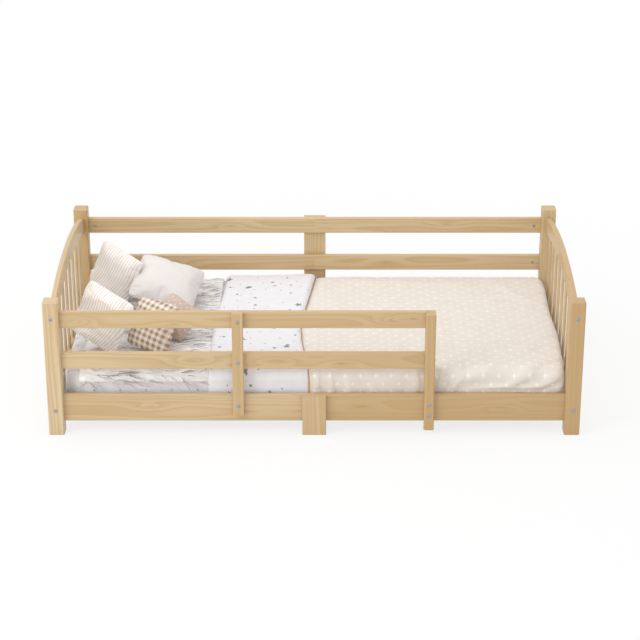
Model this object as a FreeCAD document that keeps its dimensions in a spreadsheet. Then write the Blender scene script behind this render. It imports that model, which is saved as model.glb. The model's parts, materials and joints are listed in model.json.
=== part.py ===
"""Floor bed for a toddler: a pine frame with guard rails, slatted ends and its bedding.

Millimetres.  X runs along the bed, from the pillow end to the foot end.  Y runs from the open
front to the back, and Z runs up from the floor.  The origin lies on the floor, at the middle.
"""
import FreeCAD, Part
import math
import os
import re

import Sketcher

doc = FreeCAD.newDocument("floor_bed")

# ---------------------------------------------------------------- driving dimensions
SIZES = {
    # whole frame
    "bed_length": 2010, "bed_width": 1070, "post_height": 542, "post_side": 58,
    "post_edge": 4,
    # boards
    "rail_thickness": 20, "board_edge": 2.5, "rail_height": 66,
    "top_rail_drop": 44, "rail_gap": 100, "side_rail_height": 109, "side_rail_top": 160,
    # slatted ends
    "end_rail_height": 109, "end_rail_top": 155, "arch_height": 66, "arch_drop": 38,
    "arch_rise": 53, "end_slat_count": 8, "end_slat_width": 44, "end_slat_thickness": 8,
    "end_slat_edge": 1.5, "tenon_depth": 12, "tenon_clearance": 0.2,
    # front guard
    "batten_centre": -285, "batten_width": 42, "batten_lap": 80,
    "guard_end_left": 414.5, "guard_post_width": 38, "guard_post_depth": 50,
    "guard_post_foot": 20, "guard_post_drop": 6, "guard_post_edge": 4,
    # middle supports
    "leg_width": 90, "beam_thickness": 30,
    # mattress deck
    "ledge_width": 20, "ledge_height": 20, "ledge_rise": 1, "ledge_end_gap": 5,
    "deck_slat_count": 13, "deck_slat_width": 70, "deck_slat_thickness": 14,
    "deck_slat_end_gap": 3, "deck_first_slat": 62,
    # fasteners
    "bolt_radius": 3, "bolt_head_radius": 7.5, "bolt_head_height": 2.2, "bolt_clearance": 0.5,
    "nut_radius": 6, "nut_length": 15, "nut_inset": 30, "bolt_past_nut": 8, "bolt_end_gap": 1,
    "dowel_radius": 4, "dowel_length": 40, "dowel_offset": 20,
    "shank_flats": 6, "head_flats": 12,
    "rail_bolt_drop": 2, "arch_bolt_drop": 29, "end_rail_bolt_drop": 54,
    "side_bolt_rise": 33, "side_bolt_drop": 28,
    "guard_bolt_rise": 29, "guard_bolt_drop": 36, "batten_bolt_drop": 38,
    "screw_radius": 2, "screw_head_radius": 4, "screw_head_height": 1.6, "screw_length": 32,
    "screw_spread": 22,
    # mattress
    "mattress_end_gap": 18, "mattress_height": 146, "mattress_corner": 70, "mattress_edge": 24,
    # throw, quilt and duvet, each lying on the mattress with its front edge hanging down
    "soft_clearance": 0.3, "cover_gap": 0.5, "cover_back_gap": 11, "cover_hang": 110,
    "cloth_drop": 3.2,
    "throw_end_gap": 88, "throw_thickness": 8, "throw_fold": 3,
    "quilt_left": -395, "quilt_thickness": 20, "quilt_fold": 7,
    "duvet_left": -25, "duvet_end_gap": 4, "duvet_thickness": 11, "duvet_fold": 10,
}

# sizes and heights that follow from the ones above
FOLLOWING = {
    "top_rail_top": "post_height - top_rail_drop",
    "mid_rail_top": "top_rail_top - rail_height - rail_gap",
    "side_rail_bottom": "side_rail_top - side_rail_height",
    "arch_end_top": "post_height - arch_drop",
    "arch_bolt_height": "arch_end_top - arch_bolt_drop",
    "end_rail_bolt_height": "end_rail_top - end_rail_bolt_drop",
    "side_bolt_low": "side_rail_bottom + side_bolt_rise",
    "side_bolt_high": "side_rail_top - side_bolt_drop",
    "guard_bolt_low": "side_rail_bottom + guard_bolt_rise",
    "guard_bolt_high": "side_rail_top - guard_bolt_drop",
    "batten_bolt_low": "side_rail_top - batten_bolt_drop",
    "batten_foot": "side_rail_top - batten_lap",
    "guard_post_top": "top_rail_top - guard_post_drop",
    "ledge_top": "side_rail_bottom + ledge_rise + ledge_height",
    "deck_top": "ledge_top + deck_slat_thickness",
    "mattress_top": "deck_top + mattress_height",
    # the mattress and the covers' drop fit behind the upright at the entry
    "mattress_width": "bed_width - 2 * (guard_post_depth + cover_gap + cloth_drop"
                      " + soft_clearance)",
    "mattress_length": "bed_length - post_side - rail_thickness - 2 * mattress_end_gap",
    "cloth_back": "mattress_width / 2 - cover_back_gap",
    "cloth_hem": "mattress_top - cover_hang",
    "throw_left": "throw_end_gap - mattress_length / 2",
    "duvet_right": "mattress_length / 2 - duvet_end_gap",
}

# cushions: width, height, thickness, then the way from the mattress's pillow end and from its
# middle line to the cushion's middle, and the way it faces
CUSHION_MEASURES = ("width", "height", "thickness", "x", "y", "turn", "lean", "roll")
CUSHIONS = {
    "white": (262, 240, 92, 349, 216, 29, 68, -36),
    "dotted": (136, 150, 62, 408, -141, 8, 51, -18),
    "gingham": (180, 192, 64, 329, -262, -21, 15, 0),
    "striped_side": (226, 200, 70, 144, -262, -29, 10, -14),
    "striped_back": (204, 190, 62, 143, 240, -29, 12, -15),
}
for cushion, amounts in CUSHIONS.items():
    for measure, amount in zip(CUSHION_MEASURES, amounts):
        SIZES[f"{cushion}_{measure}"] = amount

sheet = doc.addObject("Spreadsheet::Sheet", "Sizes")
named = {alias: str(amount) for alias, amount in SIZES.items()}
named.update({alias: "=" + text for alias, text in FOLLOWING.items()})
for cell, (alias, text) in enumerate(named.items(), start=1):
    sheet.set(f"A{cell}", alias)
    sheet.setAlias(f"B{cell}", alias)
for cell, text in enumerate(named.values(), start=1):
    sheet.set(f"B{cell}", text)
doc.recompute()

WORD = re.compile(r"[a-z_]+")


def expression(text):
    """Every size named in the text becomes a reference to its cell."""
    return WORD.sub(lambda m: "Sizes." + m.group() if m.group() in named else m.group(), str(text))


def size(alias):
    return float(sheet.get(alias))


def bind(obj, **texts):
    for name, text in texts.items():
        obj.setExpression(name, expression(text))


def put(obj, x, y, z):
    for axis, text in zip("xyz", (x, y, z)):
        obj.setExpression("Placement.Base." + axis, expression(text))


# ---------------------------------------------------------------- places shared by the pieces
LEFT, RIGHT, FRONT, BACK = -1, 1, -1, 1
SIDE_NAME = {LEFT: "left", RIGHT: "right"}
ROW_NAME = {FRONT: "front", BACK: "back"}

POST_INNER_X = "(bed_length / 2 - post_side)"
POST_INNER_Y = "(bed_width / 2 - post_side)"
POST_AXIS_X = "(bed_length / 2 - post_side / 2)"
POST_AXIS_Y = "(bed_width / 2 - post_side / 2)"
RAIL_OUTER_Y = "(bed_width / 2 - post_side / 2 + rail_thickness / 2)"
RAIL_INNER_Y = "(bed_width / 2 - post_side / 2 - rail_thickness / 2)"
END_OUTER_X = "(bed_length / 2 - post_side / 2 + rail_thickness / 2)"
END_INNER_X = "(bed_length / 2 - post_side / 2 - rail_thickness / 2)"
SETBACK = "((post_side - rail_thickness) / 2)"
TOP_RAIL_BOTTOM = "(top_rail_top - rail_height)"
MID_RAIL_BOTTOM = "(mid_rail_top - rail_height)"
TOP_BOLT = "(top_rail_top - rail_height / 2 - rail_bolt_drop)"
MID_BOLT = "(mid_rail_top - rail_height / 2)"

nodes = []


def keep(obj, name):
    """Give a finished piece its name and put it on the list of what is written."""
    obj.Label = name
    nodes.append(obj)
    return obj


# ---------------------------------------------------------------- building blocks
def origin_plane(body, role):
    return next(f for f in body.Origin.OriginFeatures if f.Role == role)


def sketch_on(body, role, name):
    sketch = body.newObject("Sketcher::SketchObject", name)
    sketch.AttachmentSupport = [(origin_plane(body, role), "")]
    sketch.MapMode = "FlatFace"
    return sketch


def distance(sketch, kind, line_start, point_start, line_end, point_end, text):
    index = sketch.addConstraint(
        Sketcher.Constraint(kind, line_start, point_start, line_end, point_end, number(text)))
    sketch.setExpression(f"Constraints[{index}]", expression(text))


def draw_polygon(sketch, corners):
    """Close straight lines through corners given as pairs of texts, the first at the origin."""
    points = [FreeCAD.Vector(number(u), number(v), 0) for u, v in corners]
    count = len(points)
    for i in range(count):
        sketch.addGeometry(Part.LineSegment(points[i], points[(i + 1) % count]), False)
    for i in range(count):
        sketch.addConstraint(Sketcher.Constraint("Coincident", i, 2, (i + 1) % count, 1))
    sketch.addConstraint(Sketcher.Constraint("Coincident", 0, 1, -1, 1))
    for i in range(count):
        following = corners[(i + 1) % count]
        level = corners[i][1] == following[1]
        sketch.addConstraint(Sketcher.Constraint("Horizontal" if level else "Vertical", i))
    for i in range(1, count - 1):
        level = corners[i][1] == corners[i - 1][1]
        axis, text = ("DistanceX", corners[i][0]) if level else ("DistanceY", corners[i][1])
        distance(sketch, axis, -1, 1, i, 1, text)


def number(text):
    """The present value of a text of sizes."""
    return float(sheet.evalExpression(expression(text)))


def edges_along(shape, axis):
    """Names of the straight edges that run along an axis."""
    found = []
    for i, edge in enumerate(shape.Edges, start=1):
        start, end = edge.firstVertex().Point, edge.lastVertex().Point
        direction = end - start
        if direction.Length > 1e-6 and abs(direction.normalize()[axis]) > 0.999:
            found.append(f"Edge{i}")
    return found


def board(name, axis, across, up, length, edge="board_edge"):
    """A planed board with its long edges eased, from its own corner along X, Y or Z."""
    plane = {"x": "YZ_Plane", "y": "XZ_Plane", "z": "XY_Plane"}[axis]
    body = doc.addObject("PartDesign::Body", name + "_board")
    sketch = sketch_on(body, plane, name + "_section")
    draw_polygon(sketch, [("0", "0"), (across, "0"), (across, up), ("0", up)])
    pad = body.newObject("PartDesign::Pad", name + "_length")
    pad.Profile = sketch
    pad.Reversed = axis == "y"
    bind(pad, Length=length)
    doc.recompute()
    ease = body.newObject("PartDesign::Chamfer", name + "_edges")
    ease.Base = (pad, edges_along(pad.Shape, "xyz".index(axis)))
    bind(ease, Size=edge)
    return body


DIRECTION = {
    "+x": FreeCAD.Vector(1, 0, 0), "-x": FreeCAD.Vector(-1, 0, 0),
    "+y": FreeCAD.Vector(0, 1, 0), "-y": FreeCAD.Vector(0, -1, 0),
    "+z": FreeCAD.Vector(0, 0, 1),
}


def rod(name, way, x, y, z, radius, length, flats="shank_flats"):
    """A bar from a point, along one of the directions above.

    Narrow flats stand for its round, because the bed has so many small fasteners.
    """
    obj = doc.addObject("Part::Prism", name)
    turn = FreeCAD.Rotation(FreeCAD.Vector(0, 0, 1), DIRECTION[way])
    obj.Placement = FreeCAD.Placement(FreeCAD.Vector(), turn)
    bind(obj, Circumradius=radius, Height=length, Polygon=flats)
    put(obj, x, y, z)
    return obj


def block(name, x, y, z, length, width, height):
    obj = doc.addObject("Part::Box", name)
    bind(obj, Length=length, Width=width, Height=height)
    put(obj, x, y, z)
    return obj


def bunch(kind, name, pieces):
    obj = doc.addObject(kind, name)
    if kind == "Part::Compound":
        obj.Links = pieces
    else:
        obj.Shapes = pieces
    return obj


def cut(name, blank, cutters):
    """The blank with the cutters taken out of it."""
    tool = bunch("Part::Compound", name + "_bores", cutters)
    obj = doc.addObject("Part::Cut", name)
    obj.Base = blank
    obj.Tool = tool
    return obj


# ---------------------------------------------------------------- fasteners
bolts, barrel_nuts, guard_bolts, sleeve_nuts, screws, dowels = [], [], [], [], [], []


def headed(name, way, x, y, z, radius, head_radius, head_height, length, flats="head_flats"):
    """A shank from the face that its head bears on, with the head behind it."""
    back = {"+": "-", "-": "+"}[way[0]] + way[1]
    shank = rod(name + "_shank", way, x, y, z, radius, length)
    head = rod(name + "_head", back, x, y, z, head_radius, head_height, flats)
    return bunch("Part::MultiFuse", name, [shank, head])


def along(way, start, amount):
    """The coordinate that lies an amount further along a direction."""
    return f"({start} {way[0]} ({amount}))"


def knock_down_joint(name, way, x, y, z, through, nut_way, nut_face):
    """A bolt through an upright into a barrel nut in the end of a board.

    x, y, z is the middle of the head's seat and through is the upright's depth there.  The
    nut's bore opens in the board's face at nut_face and runs in along nut_way.
    Returns the bores of the upright and of the board.
    """
    reach = f"{through} + nut_inset + bolt_past_nut"
    nut = dict(x=x, y=y, z=z)
    nut[way[1]] = along(way, nut[way[1]], f"{through} + nut_inset")
    nut[nut_way[1]] = nut_face
    bolts.append(headed(name + "_bolt", way, x, y, z, "bolt_radius", "bolt_head_radius",
                        "bolt_head_height", f"{reach} - bolt_end_gap"))
    thread = rod(name + "_thread", way, x, y, z, "bolt_radius", reach)
    blank = rod(name + "_nut_blank", nut_way, nut["x"], nut["y"], nut["z"],
                "nut_radius", "nut_length", "head_flats")
    barrel_nuts.append(cut(name + "_nut", blank, [thread]))
    bore = rod(name + "_bore", way, x, y, z, "bolt_radius + bolt_clearance", reach)
    nut_bore = rod(name + "_nut_bore", nut_way, nut["x"], nut["y"], nut["z"],
                   "nut_radius", "nut_length", "head_flats")
    return [bore], [bore, nut_bore]


post_bores = {(side, row): [] for side in (LEFT, RIGHT) for row in (FRONT, BACK)}
guard_post_bores = []
rail_bores = {}


def pin(name, way, x, y, z):
    """A dowel centred on a joint, and its bore."""
    start = dict(x=x, y=y, z=z)
    start[way[1]] = along(way, start[way[1]], "-dowel_length / 2")
    dowels.append(rod(name + "_dowel", way, start["x"], start["y"], start["z"],
                      "dowel_radius", "dowel_length"))
    return rod(name + "_dowel_bore", way, start["x"], start["y"], start["z"],
               "dowel_radius", "dowel_length")


def join_rail_to_post(rail, side, row, heights, dowel_height):
    """Bolt a long rail to a post from the bed's end, with one dowel beside the bolts."""
    way = "+x" if side == LEFT else "-x"
    nut_way = "-y" if row == FRONT else "+y"
    seat, joint = f"{side} * bed_length / 2", f"{side} * {POST_INNER_X}"
    axis_y = f"{row} * {POST_AXIS_Y}"
    for i, height in enumerate(heights, start=1):
        in_post, in_rail = knock_down_joint(f"{rail}_{i}", way, seat, axis_y, height,
                                            "post_side", nut_way, f"{row} * {RAIL_INNER_Y}")
        post_bores[side, row] += in_post
        rail_bores.setdefault(rail, []).extend(in_rail)
    peg = pin(rail, way, joint, axis_y, dowel_height)
    post_bores[side, row].append(peg)
    rail_bores[rail].append(peg)


def join_end_to_post(rail, side, row, height, dowel_height):
    """Bolt an end board to a post from the front or the back."""
    way = "+y" if row == FRONT else "-y"
    nut_way = "+x" if side == LEFT else "-x"
    seat, joint = f"{row} * bed_width / 2", f"{row} * {POST_INNER_Y}"
    axis_x = f"{side} * {POST_AXIS_X}"
    name = f"{rail}_{ROW_NAME[row]}"
    in_post, in_rail = knock_down_joint(name, way, axis_x, seat, height, "post_side", nut_way,
                                        f"{side} * {END_OUTER_X}")
    peg = pin(name, way, axis_x, joint, dowel_height)
    post_bores[side, row] += in_post + [peg]
    rail_bores.setdefault(rail, []).extend(in_rail + [peg])


def screw(name, way, x, y, z):
    """A wood screw with its head on the face at x, y, z, and the bore that it makes."""
    screws.append(headed(name, way, x, y, z, "screw_radius", "screw_head_radius",
                         "screw_head_height", "screw_length", "shank_flats"))
    return rod(name + "_bore", way, x, y, z, "screw_radius", "screw_length")


# ---------------------------------------------------------------- long rails
def long_rail(name, row, x_start, length, bottom, height):
    """A rail along X, centred on the posts of its row."""
    near = "-" + RAIL_OUTER_Y if row == FRONT else RAIL_INNER_Y
    body = board(name, "x", "rail_thickness", height, length)
    put(body, x_start, near, bottom)
    rail_bores.setdefault(name, [])
    return body


def side_rails():
    """The two halves of each side rail meet behind the middle leg."""
    rails = {}
    for row in (FRONT, BACK):
        for side in (LEFT, RIGHT):
            name = f"side_rail_{ROW_NAME[row]}_{SIDE_NAME[side]}"
            start = "-" + POST_INNER_X if side == LEFT else "0"
            rails[name] = long_rail(name, row, start, POST_INNER_X, "side_rail_bottom",
                                    "side_rail_height")
            join_rail_to_post(name, side, row, ("side_bolt_low", "side_bolt_high"),
                              "(side_bolt_low + side_bolt_high) / 2")
    return rails


def back_rails():
    """Two rails close the back, each in two halves that meet before the back batten."""
    rails = {}
    for level, bottom, bolt in (("top", TOP_RAIL_BOTTOM, TOP_BOLT),
                                ("mid", MID_RAIL_BOTTOM, MID_BOLT)):
        for side in (LEFT, RIGHT):
            name = f"back_{level}_rail_{SIDE_NAME[side]}"
            start = "-" + POST_INNER_X if side == LEFT else "0"
            rails[name] = long_rail(name, BACK, start, POST_INNER_X, bottom, "rail_height")
            join_rail_to_post(name, side, BACK, (bolt,), f"{bolt} - dowel_offset")
    return rails


def guard_rails():
    """Two rails guard the front as far as the entry; their halves meet behind the batten."""
    rails = {}
    axis_y = f"-{POST_AXIS_Y}"
    for level, bottom, bolt in (("top", TOP_RAIL_BOTTOM, TOP_BOLT),
                                ("mid", MID_RAIL_BOTTOM, MID_BOLT)):
        left, right = f"guard_{level}_rail_left", f"guard_{level}_rail_right"
        rails[left] = long_rail(left, FRONT, "-" + POST_INNER_X,
                                f"batten_centre + {POST_INNER_X}", bottom, "rail_height")
        join_rail_to_post(left, LEFT, FRONT, (bolt,), f"{bolt} - dowel_offset")
        rails[right] = long_rail(right, FRONT, "batten_centre",
                                 "guard_end_left - batten_centre", bottom, "rail_height")
        in_post, in_rail = knock_down_joint(right, "-x", "guard_end_left + guard_post_width",
                                            axis_y, bolt, "guard_post_width", "-y",
                                            "-" + RAIL_INNER_Y)
        peg = pin(right, "-x", "guard_end_left", axis_y, f"{bolt} - dowel_offset")
        rail_bores[right] += in_rail + [peg]
        guard_post_bores.extend(in_post + [peg])
    return rails


# ---------------------------------------------------------------- front guard uprights
def guard_end_post():
    """The upright at the entry: full depth beside the rails, lapped over the side rail below."""
    name = "guard_end_post"
    body = doc.addObject("PartDesign::Body", name + "_board")
    sketch = sketch_on(body, "YZ_Plane", name + "_profile")
    rise, lap = "guard_post_top - guard_post_foot", "side_rail_top - guard_post_foot"
    draw_polygon(sketch, [("0", "0"), (SETBACK, "0"), (SETBACK, lap), ("guard_post_depth", lap),
                          ("guard_post_depth", rise), ("0", rise)])
    pad = body.newObject("PartDesign::Pad", name + "_width")
    pad.Profile = sketch
    bind(pad, Length="guard_post_width")
    doc.recompute()
    ease = body.newObject("PartDesign::Chamfer", name + "_edges")
    ease.Base = (pad, [f"Edge{i}" for i, edge in enumerate(pad.Shape.Edges, start=1)
                       if edge.BoundBox.ZLength > 1 and edge.BoundBox.YMin < 1])
    bind(ease, Size="guard_post_edge")
    put(body, "guard_end_left", "-bed_width / 2", "guard_post_foot")
    return body


def front_bolts(name, x, heights, seat_y, grip):
    """Bolts seen from the front, each drawn into a sleeve nut behind the rail."""
    bores = []
    for i, height in enumerate(heights, start=1):
        tag = f"{name}_{i}"
        guard_bolts.append(headed(tag + "_bolt", "+y", x, seat_y, height, "bolt_radius",
                                  "bolt_head_radius", "bolt_head_height", f"{grip}"))
        bores.append(rod(tag + "_bore", "+y", x, seat_y, height, "bolt_radius", grip))
        sleeve_nuts.append(rod(tag + "_nut", "+y", x, "-" + RAIL_INNER_Y, height,
                               "bolt_head_radius", "bolt_head_height", "head_flats"))
    return bores


def screws_through(name, way, x_places, y, heights):
    """The bores of rows of screws."""
    return [screw(f"{name}_{i}_{j}", way, x, y, z)
            for i, x in enumerate(x_places) for j, z in enumerate(heights)]


# ---------------------------------------------------------------- ends
ARCH_HALF = POST_INNER_Y
ARCH_RADIUS = f"(({ARCH_HALF} ^ 2 + arch_rise ^ 2) / (2 * arch_rise))"


def arch_rail(name, side):
    """The curved top rail of an end: two arcs of one radius between the posts."""
    body = doc.addObject("PartDesign::Body", name + "_board")
    sketch = sketch_on(body, "YZ_Plane", name + "_outline")
    half, radius, deep = number(ARCH_HALF), number(ARCH_RADIUS), size("arch_height")
    sunk = radius - size("arch_rise")
    opening = math.asin(half / radius)

    def arc(base):
        centre = FreeCAD.Vector(half, base - sunk, 0)
        circle = Part.Circle(centre, FreeCAD.Vector(0, 0, 1), radius)
        return Part.ArcOfCircle(circle, math.pi / 2 - opening, math.pi / 2 + opening)

    def upright(x):
        return Part.LineSegment(FreeCAD.Vector(x, 0, 0), FreeCAD.Vector(x, deep, 0))

    low, high, near, far = (sketch.addGeometry(shape, False) for shape in
                            (arc(0), arc(deep), upright(0), upright(2 * half)))
    sketch.addConstraint(Sketcher.Constraint("Coincident", near, 1, -1, 1))
    sketch.addConstraint(Sketcher.Constraint("Vertical", near))
    sketch.addConstraint(Sketcher.Constraint("Vertical", far))
    for curve, line_end, below in ((low, 1, "0"), (high, 2, "arch_height")):
        sketch.addConstraint(Sketcher.Constraint("Coincident", curve, 2, near, line_end))
        sketch.addConstraint(Sketcher.Constraint("Coincident", curve, 1, far, line_end))
        distance(sketch, "DistanceY", curve, 3, -1, 1, f"{ARCH_RADIUS} - arch_rise - {below}")
    sketch.addConstraint(Sketcher.Constraint("Horizontal", near, 1, far, 1))
    distance(sketch, "DistanceX", -1, 1, far, 1, f"2 * {ARCH_HALF}")
    distance(sketch, "DistanceY", -1, 1, near, 2, "arch_height")
    sketch.addConstraint(Sketcher.Constraint("Horizontal", near, 2, far, 2))
    pad = body.newObject("PartDesign::Pad", name + "_thickness")
    pad.Profile = sketch
    bind(pad, Length="rail_thickness")
    doc.recompute()
    ease = body.newObject("PartDesign::Chamfer", name + "_edges")
    curved = [f"Edge{i}" for i, edge in enumerate(pad.Shape.Edges, start=1)
              if edge.Curve.TypeId == "Part::GeomCircle"]
    ease.Base = (pad, curved)
    bind(ease, Size="board_edge")
    near_x = "-" + END_OUTER_X if side == LEFT else END_INNER_X
    put(body, near_x, "-" + ARCH_HALF, "arch_end_top - arch_height")
    return body


def end_slat_places():
    """The slats' middles across the end, with equal gaps between slats and posts."""
    gap = f"((2 * {POST_INNER_Y} - end_slat_count * end_slat_width) / (end_slat_count + 1))"
    return [f"(-{POST_INNER_Y} + {i} * {gap} + {i - 0.5} * end_slat_width)"
            for i in range(1, int(size("end_slat_count")) + 1)]


def under_arch(y):
    """The height of the curved rail's lower edge at a place across the end."""
    return (f"(arch_end_top - arch_height + arch_rise - {ARCH_RADIUS} "
            f"+ sqrt({ARCH_RADIUS} ^ 2 - {y} ^ 2))")


def slatted_end(title, side):
    """The curved rail, the bottom rail and the slats tenoned into both."""
    arch, bottom = f"{title}_arch_rail", f"{title}_bottom_rail"
    axis_x = f"{side} * {POST_AXIS_X}"
    slats, mortises = [], []
    low = "(end_rail_top - tenon_depth)"
    for i, y in enumerate(end_slat_places(), start=1):
        top = f"({under_arch(y)} + tenon_depth)"
        slat = board(f"{title}_slat_{i}", "z", "end_slat_thickness", "end_slat_width",
                     f"{top} - {low}", "end_slat_edge")
        put(slat, f"{axis_x} - end_slat_thickness / 2", f"{y} - end_slat_width / 2", low)
        slats.append(slat)
        mortises.append(block(f"{title}_mortise_{i}",
                              f"{axis_x} - end_slat_thickness / 2 - tenon_clearance",
                              f"{y} - end_slat_width / 2 - tenon_clearance", low,
                              "end_slat_thickness + 2 * tenon_clearance",
                              "end_slat_width + 2 * tenon_clearance", f"{top} - {low}"))
    lower_board = board(bottom, "y", "rail_thickness", "end_rail_height", f"2 * {POST_INNER_Y}")
    put(lower_board, f"{axis_x} - rail_thickness / 2", "-" + POST_INNER_Y,
        "end_rail_top - end_rail_height")
    for row in (FRONT, BACK):
        join_end_to_post(arch, side, row, "arch_bolt_height", "arch_bolt_height - dowel_offset")
        join_end_to_post(bottom, side, row, "end_rail_bolt_height",
                         "end_rail_bolt_height - dowel_offset")
    upper = arch_rail(arch, side)
    keep(cut(arch, upper, mortises + rail_bores[arch]), arch)
    keep(cut(bottom, lower_board, mortises + rail_bores[bottom]), bottom)
    keep(bunch("Part::Compound", title + "_slats", slats), title + "_slats")


def post(side, row):
    """A square post with its long edges and its crown eased."""
    name = f"post_{ROW_NAME[row]}_{SIDE_NAME[side]}"
    body = doc.addObject("PartDesign::Body", name + "_blank")
    sketch = sketch_on(body, "XY_Plane", name + "_section")
    draw_polygon(sketch, [("0", "0"), ("post_side", "0"), ("post_side", "post_side"),
                          ("0", "post_side")])
    pad = body.newObject("PartDesign::Pad", name + "_height")
    pad.Profile = sketch
    bind(pad, Length="post_height")
    doc.recompute()
    ease = body.newObject("PartDesign::Chamfer", name + "_edges")
    ease.Base = (pad, edges_along(pad.Shape, 2)
                 + [f"Edge{i}" for i, edge in enumerate(pad.Shape.Edges, start=1)
                    if edge.BoundBox.ZMin > size("post_height") - 1])
    bind(ease, Size="post_edge")
    put(body, f"{side} * {POST_AXIS_X} - post_side / 2", f"{row} * {POST_AXIS_Y} - post_side / 2",
        "0")
    return keep(cut(name, body, post_bores[side, row]), name)


# ---------------------------------------------------------------- deck
LEDGE_SCREWS = (0.25, 0.75)


def ledge(row, side):
    """A cleat screwed to the inner face of a side rail; the deck slats lie on it."""
    name = f"slat_ledge_{ROW_NAME[row]}_{SIDE_NAME[side]}"
    start = (f"-{POST_INNER_X} + ledge_end_gap" if side == LEFT else "beam_thickness / 2")
    length = f"{POST_INNER_X} - ledge_end_gap - beam_thickness / 2"
    body = board(name, "x", "ledge_width", "ledge_height", length)
    near = "-" + RAIL_INNER_Y if row == FRONT else f"{RAIL_INNER_Y} - ledge_width"
    put(body, start, near, "ledge_top - ledge_height")
    way = "-y" if row == FRONT else "+y"
    face = f"{row} * ({RAIL_INNER_Y} - ledge_width)"
    places = [f"{side} * ({share} * {POST_INNER_X})" for share in LEDGE_SCREWS]
    rail = f"side_rail_{ROW_NAME[row]}_{SIDE_NAME[side]}"
    bores = screws_through(name + "_screw", way, places, face, ["ledge_top - ledge_height / 2"])
    rail_bores[rail] += bores
    keep(cut(name, body, bores), name)


def deck_slats():
    """Cross slats, evenly spaced, lying on the ledges."""
    count = int(size("deck_slat_count"))
    first = f"(-{POST_INNER_X} + deck_first_slat)"
    for i in range(count):
        name = f"deck_slat_{i + 1:02d}"
        body = board(name, "y", "deck_slat_width", "deck_slat_thickness",
                     f"2 * ({RAIL_INNER_Y} - deck_slat_end_gap)")
        put(body, f"{first} * (1 - 2 * {i} / (deck_slat_count - 1)) - deck_slat_width / 2",
            f"-{RAIL_INNER_Y} + deck_slat_end_gap", "ledge_top")
        keep(body, name)


# ---------------------------------------------------------------- mattress and covers
def mattress():
    """A foam block on the deck, with round corners and eased rims."""
    body = doc.addObject("PartDesign::Body", "mattress_block")
    sketch = sketch_on(body, "XY_Plane", "mattress_plan")
    draw_polygon(sketch, [("0", "0"), ("mattress_length", "0"),
                          ("mattress_length", "mattress_width"), ("0", "mattress_width")])
    pad = body.newObject("PartDesign::Pad", "mattress_thickness")
    pad.Profile = sketch
    bind(pad, Length="mattress_height")
    doc.recompute()
    corners = body.newObject("PartDesign::Fillet", "mattress_corners")
    corners.Base = (pad, edges_along(pad.Shape, 2))
    bind(corners, Radius="mattress_corner")
    doc.recompute()
    rims = body.newObject("PartDesign::Chamfer", "mattress_rims")
    rims.Base = (corners, [f"Edge{i}" for i, edge in enumerate(corners.Shape.Edges, start=1)
                           if edge.BoundBox.ZLength < 1])
    bind(rims, Size="mattress_edge")
    put(body, "-mattress_length / 2", "-mattress_width / 2", "deck_top")
    return keep(body, "mattress")


def part_way(start, end, share):
    return start + (end - start) * share


def cloth_section(x, thickness, fold, hem):
    """One cross-section of a cover: flat under, crowned above, with its drop at the front."""
    top, edge = size("mattress_top"), size("mattress_edge")
    front, back = -size("mattress_width") / 2, size("cloth_back")
    inner = front - size("soft_clearance")
    outer = inner - size("cloth_drop")

    def at(y, z):
        return FreeCAD.Vector(x, y, z)

    shoulder_low, shoulder_high = at(outer, top - edge), at(front + edge, top + thickness)
    shoulder = at(part_way(outer, front + edge, 0.29), part_way(top - edge, top + thickness, 0.71))
    middle, rear = at(0, top + thickness + fold), at(back, top + thickness)
    rise_front = at(part_way(front + edge, 0, 0.5), top + thickness + fold * 0.9)
    rise_back = at(part_way(0, back, 0.5), top + thickness + fold * 0.8)
    return Part.Wire([
        Part.LineSegment(at(back, top), at(front + edge, top)).toShape(),
        Part.LineSegment(at(front + edge, top), at(inner, top - edge)).toShape(),
        Part.LineSegment(at(inner, top - edge), at(inner, hem)).toShape(),
        Part.LineSegment(at(inner, hem), at(outer, hem)).toShape(),
        Part.LineSegment(at(outer, hem), shoulder_low).toShape(),
        Part.Arc(shoulder_low, shoulder, shoulder_high).toShape(),
        Part.Arc(shoulder_high, rise_front, middle).toShape(),
        Part.Arc(middle, rise_back, rear).toShape(),
        Part.LineSegment(rear, at(back, top)).toShape(),
    ])


def cover(name, left, right, thickness, fold, swells):
    """A cover over the mattress; swells says how far each of its folds stands up, in order."""
    sections = []
    for i, swell in enumerate(swells):
        x = part_way(size(left), size(right), i / (len(swells) - 1))
        hem = size("cloth_hem") + size(fold) * swell
        sections.append(cloth_section(x, size(thickness), size(fold) * swell, hem))
    obj = doc.addObject("Part::Feature", name)
    obj.Shape = Part.makeLoft(sections, True, True)
    return keep(obj, name)


# ---------------------------------------------------------------- cushions
# height above the seam as a share of the thickness, and size of the outline there
CUSHION_LEVELS = ((-0.5, 0.5), (-0.42, 0.74), (-0.25, 0.91), (0, 1),
                  (0.25, 0.91), (0.42, 0.74), (0.5, 0.5))
SIDE_STEPS = 4
SIDE_DRAWN_IN = 0.045
SETTLED = 0.02


def cushion_outline(width, height, level, scale):
    """Four sides that are drawn in between the corners, in short straight steps."""
    points = []
    for turn in range(4):
        quarter = FreeCAD.Rotation(FreeCAD.Vector(0, 0, 1), 90 * turn)
        for step in range(SIDE_STEPS):
            along_side = 2 * step / SIDE_STEPS - 1
            inward = 1 - SIDE_DRAWN_IN * (1 - along_side ** 2)
            point = quarter.multVec(FreeCAD.Vector(along_side, -inward, 0)) * scale
            points.append(FreeCAD.Vector(point.x * width / 2, point.y * height / 2, level))
    return points


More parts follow.
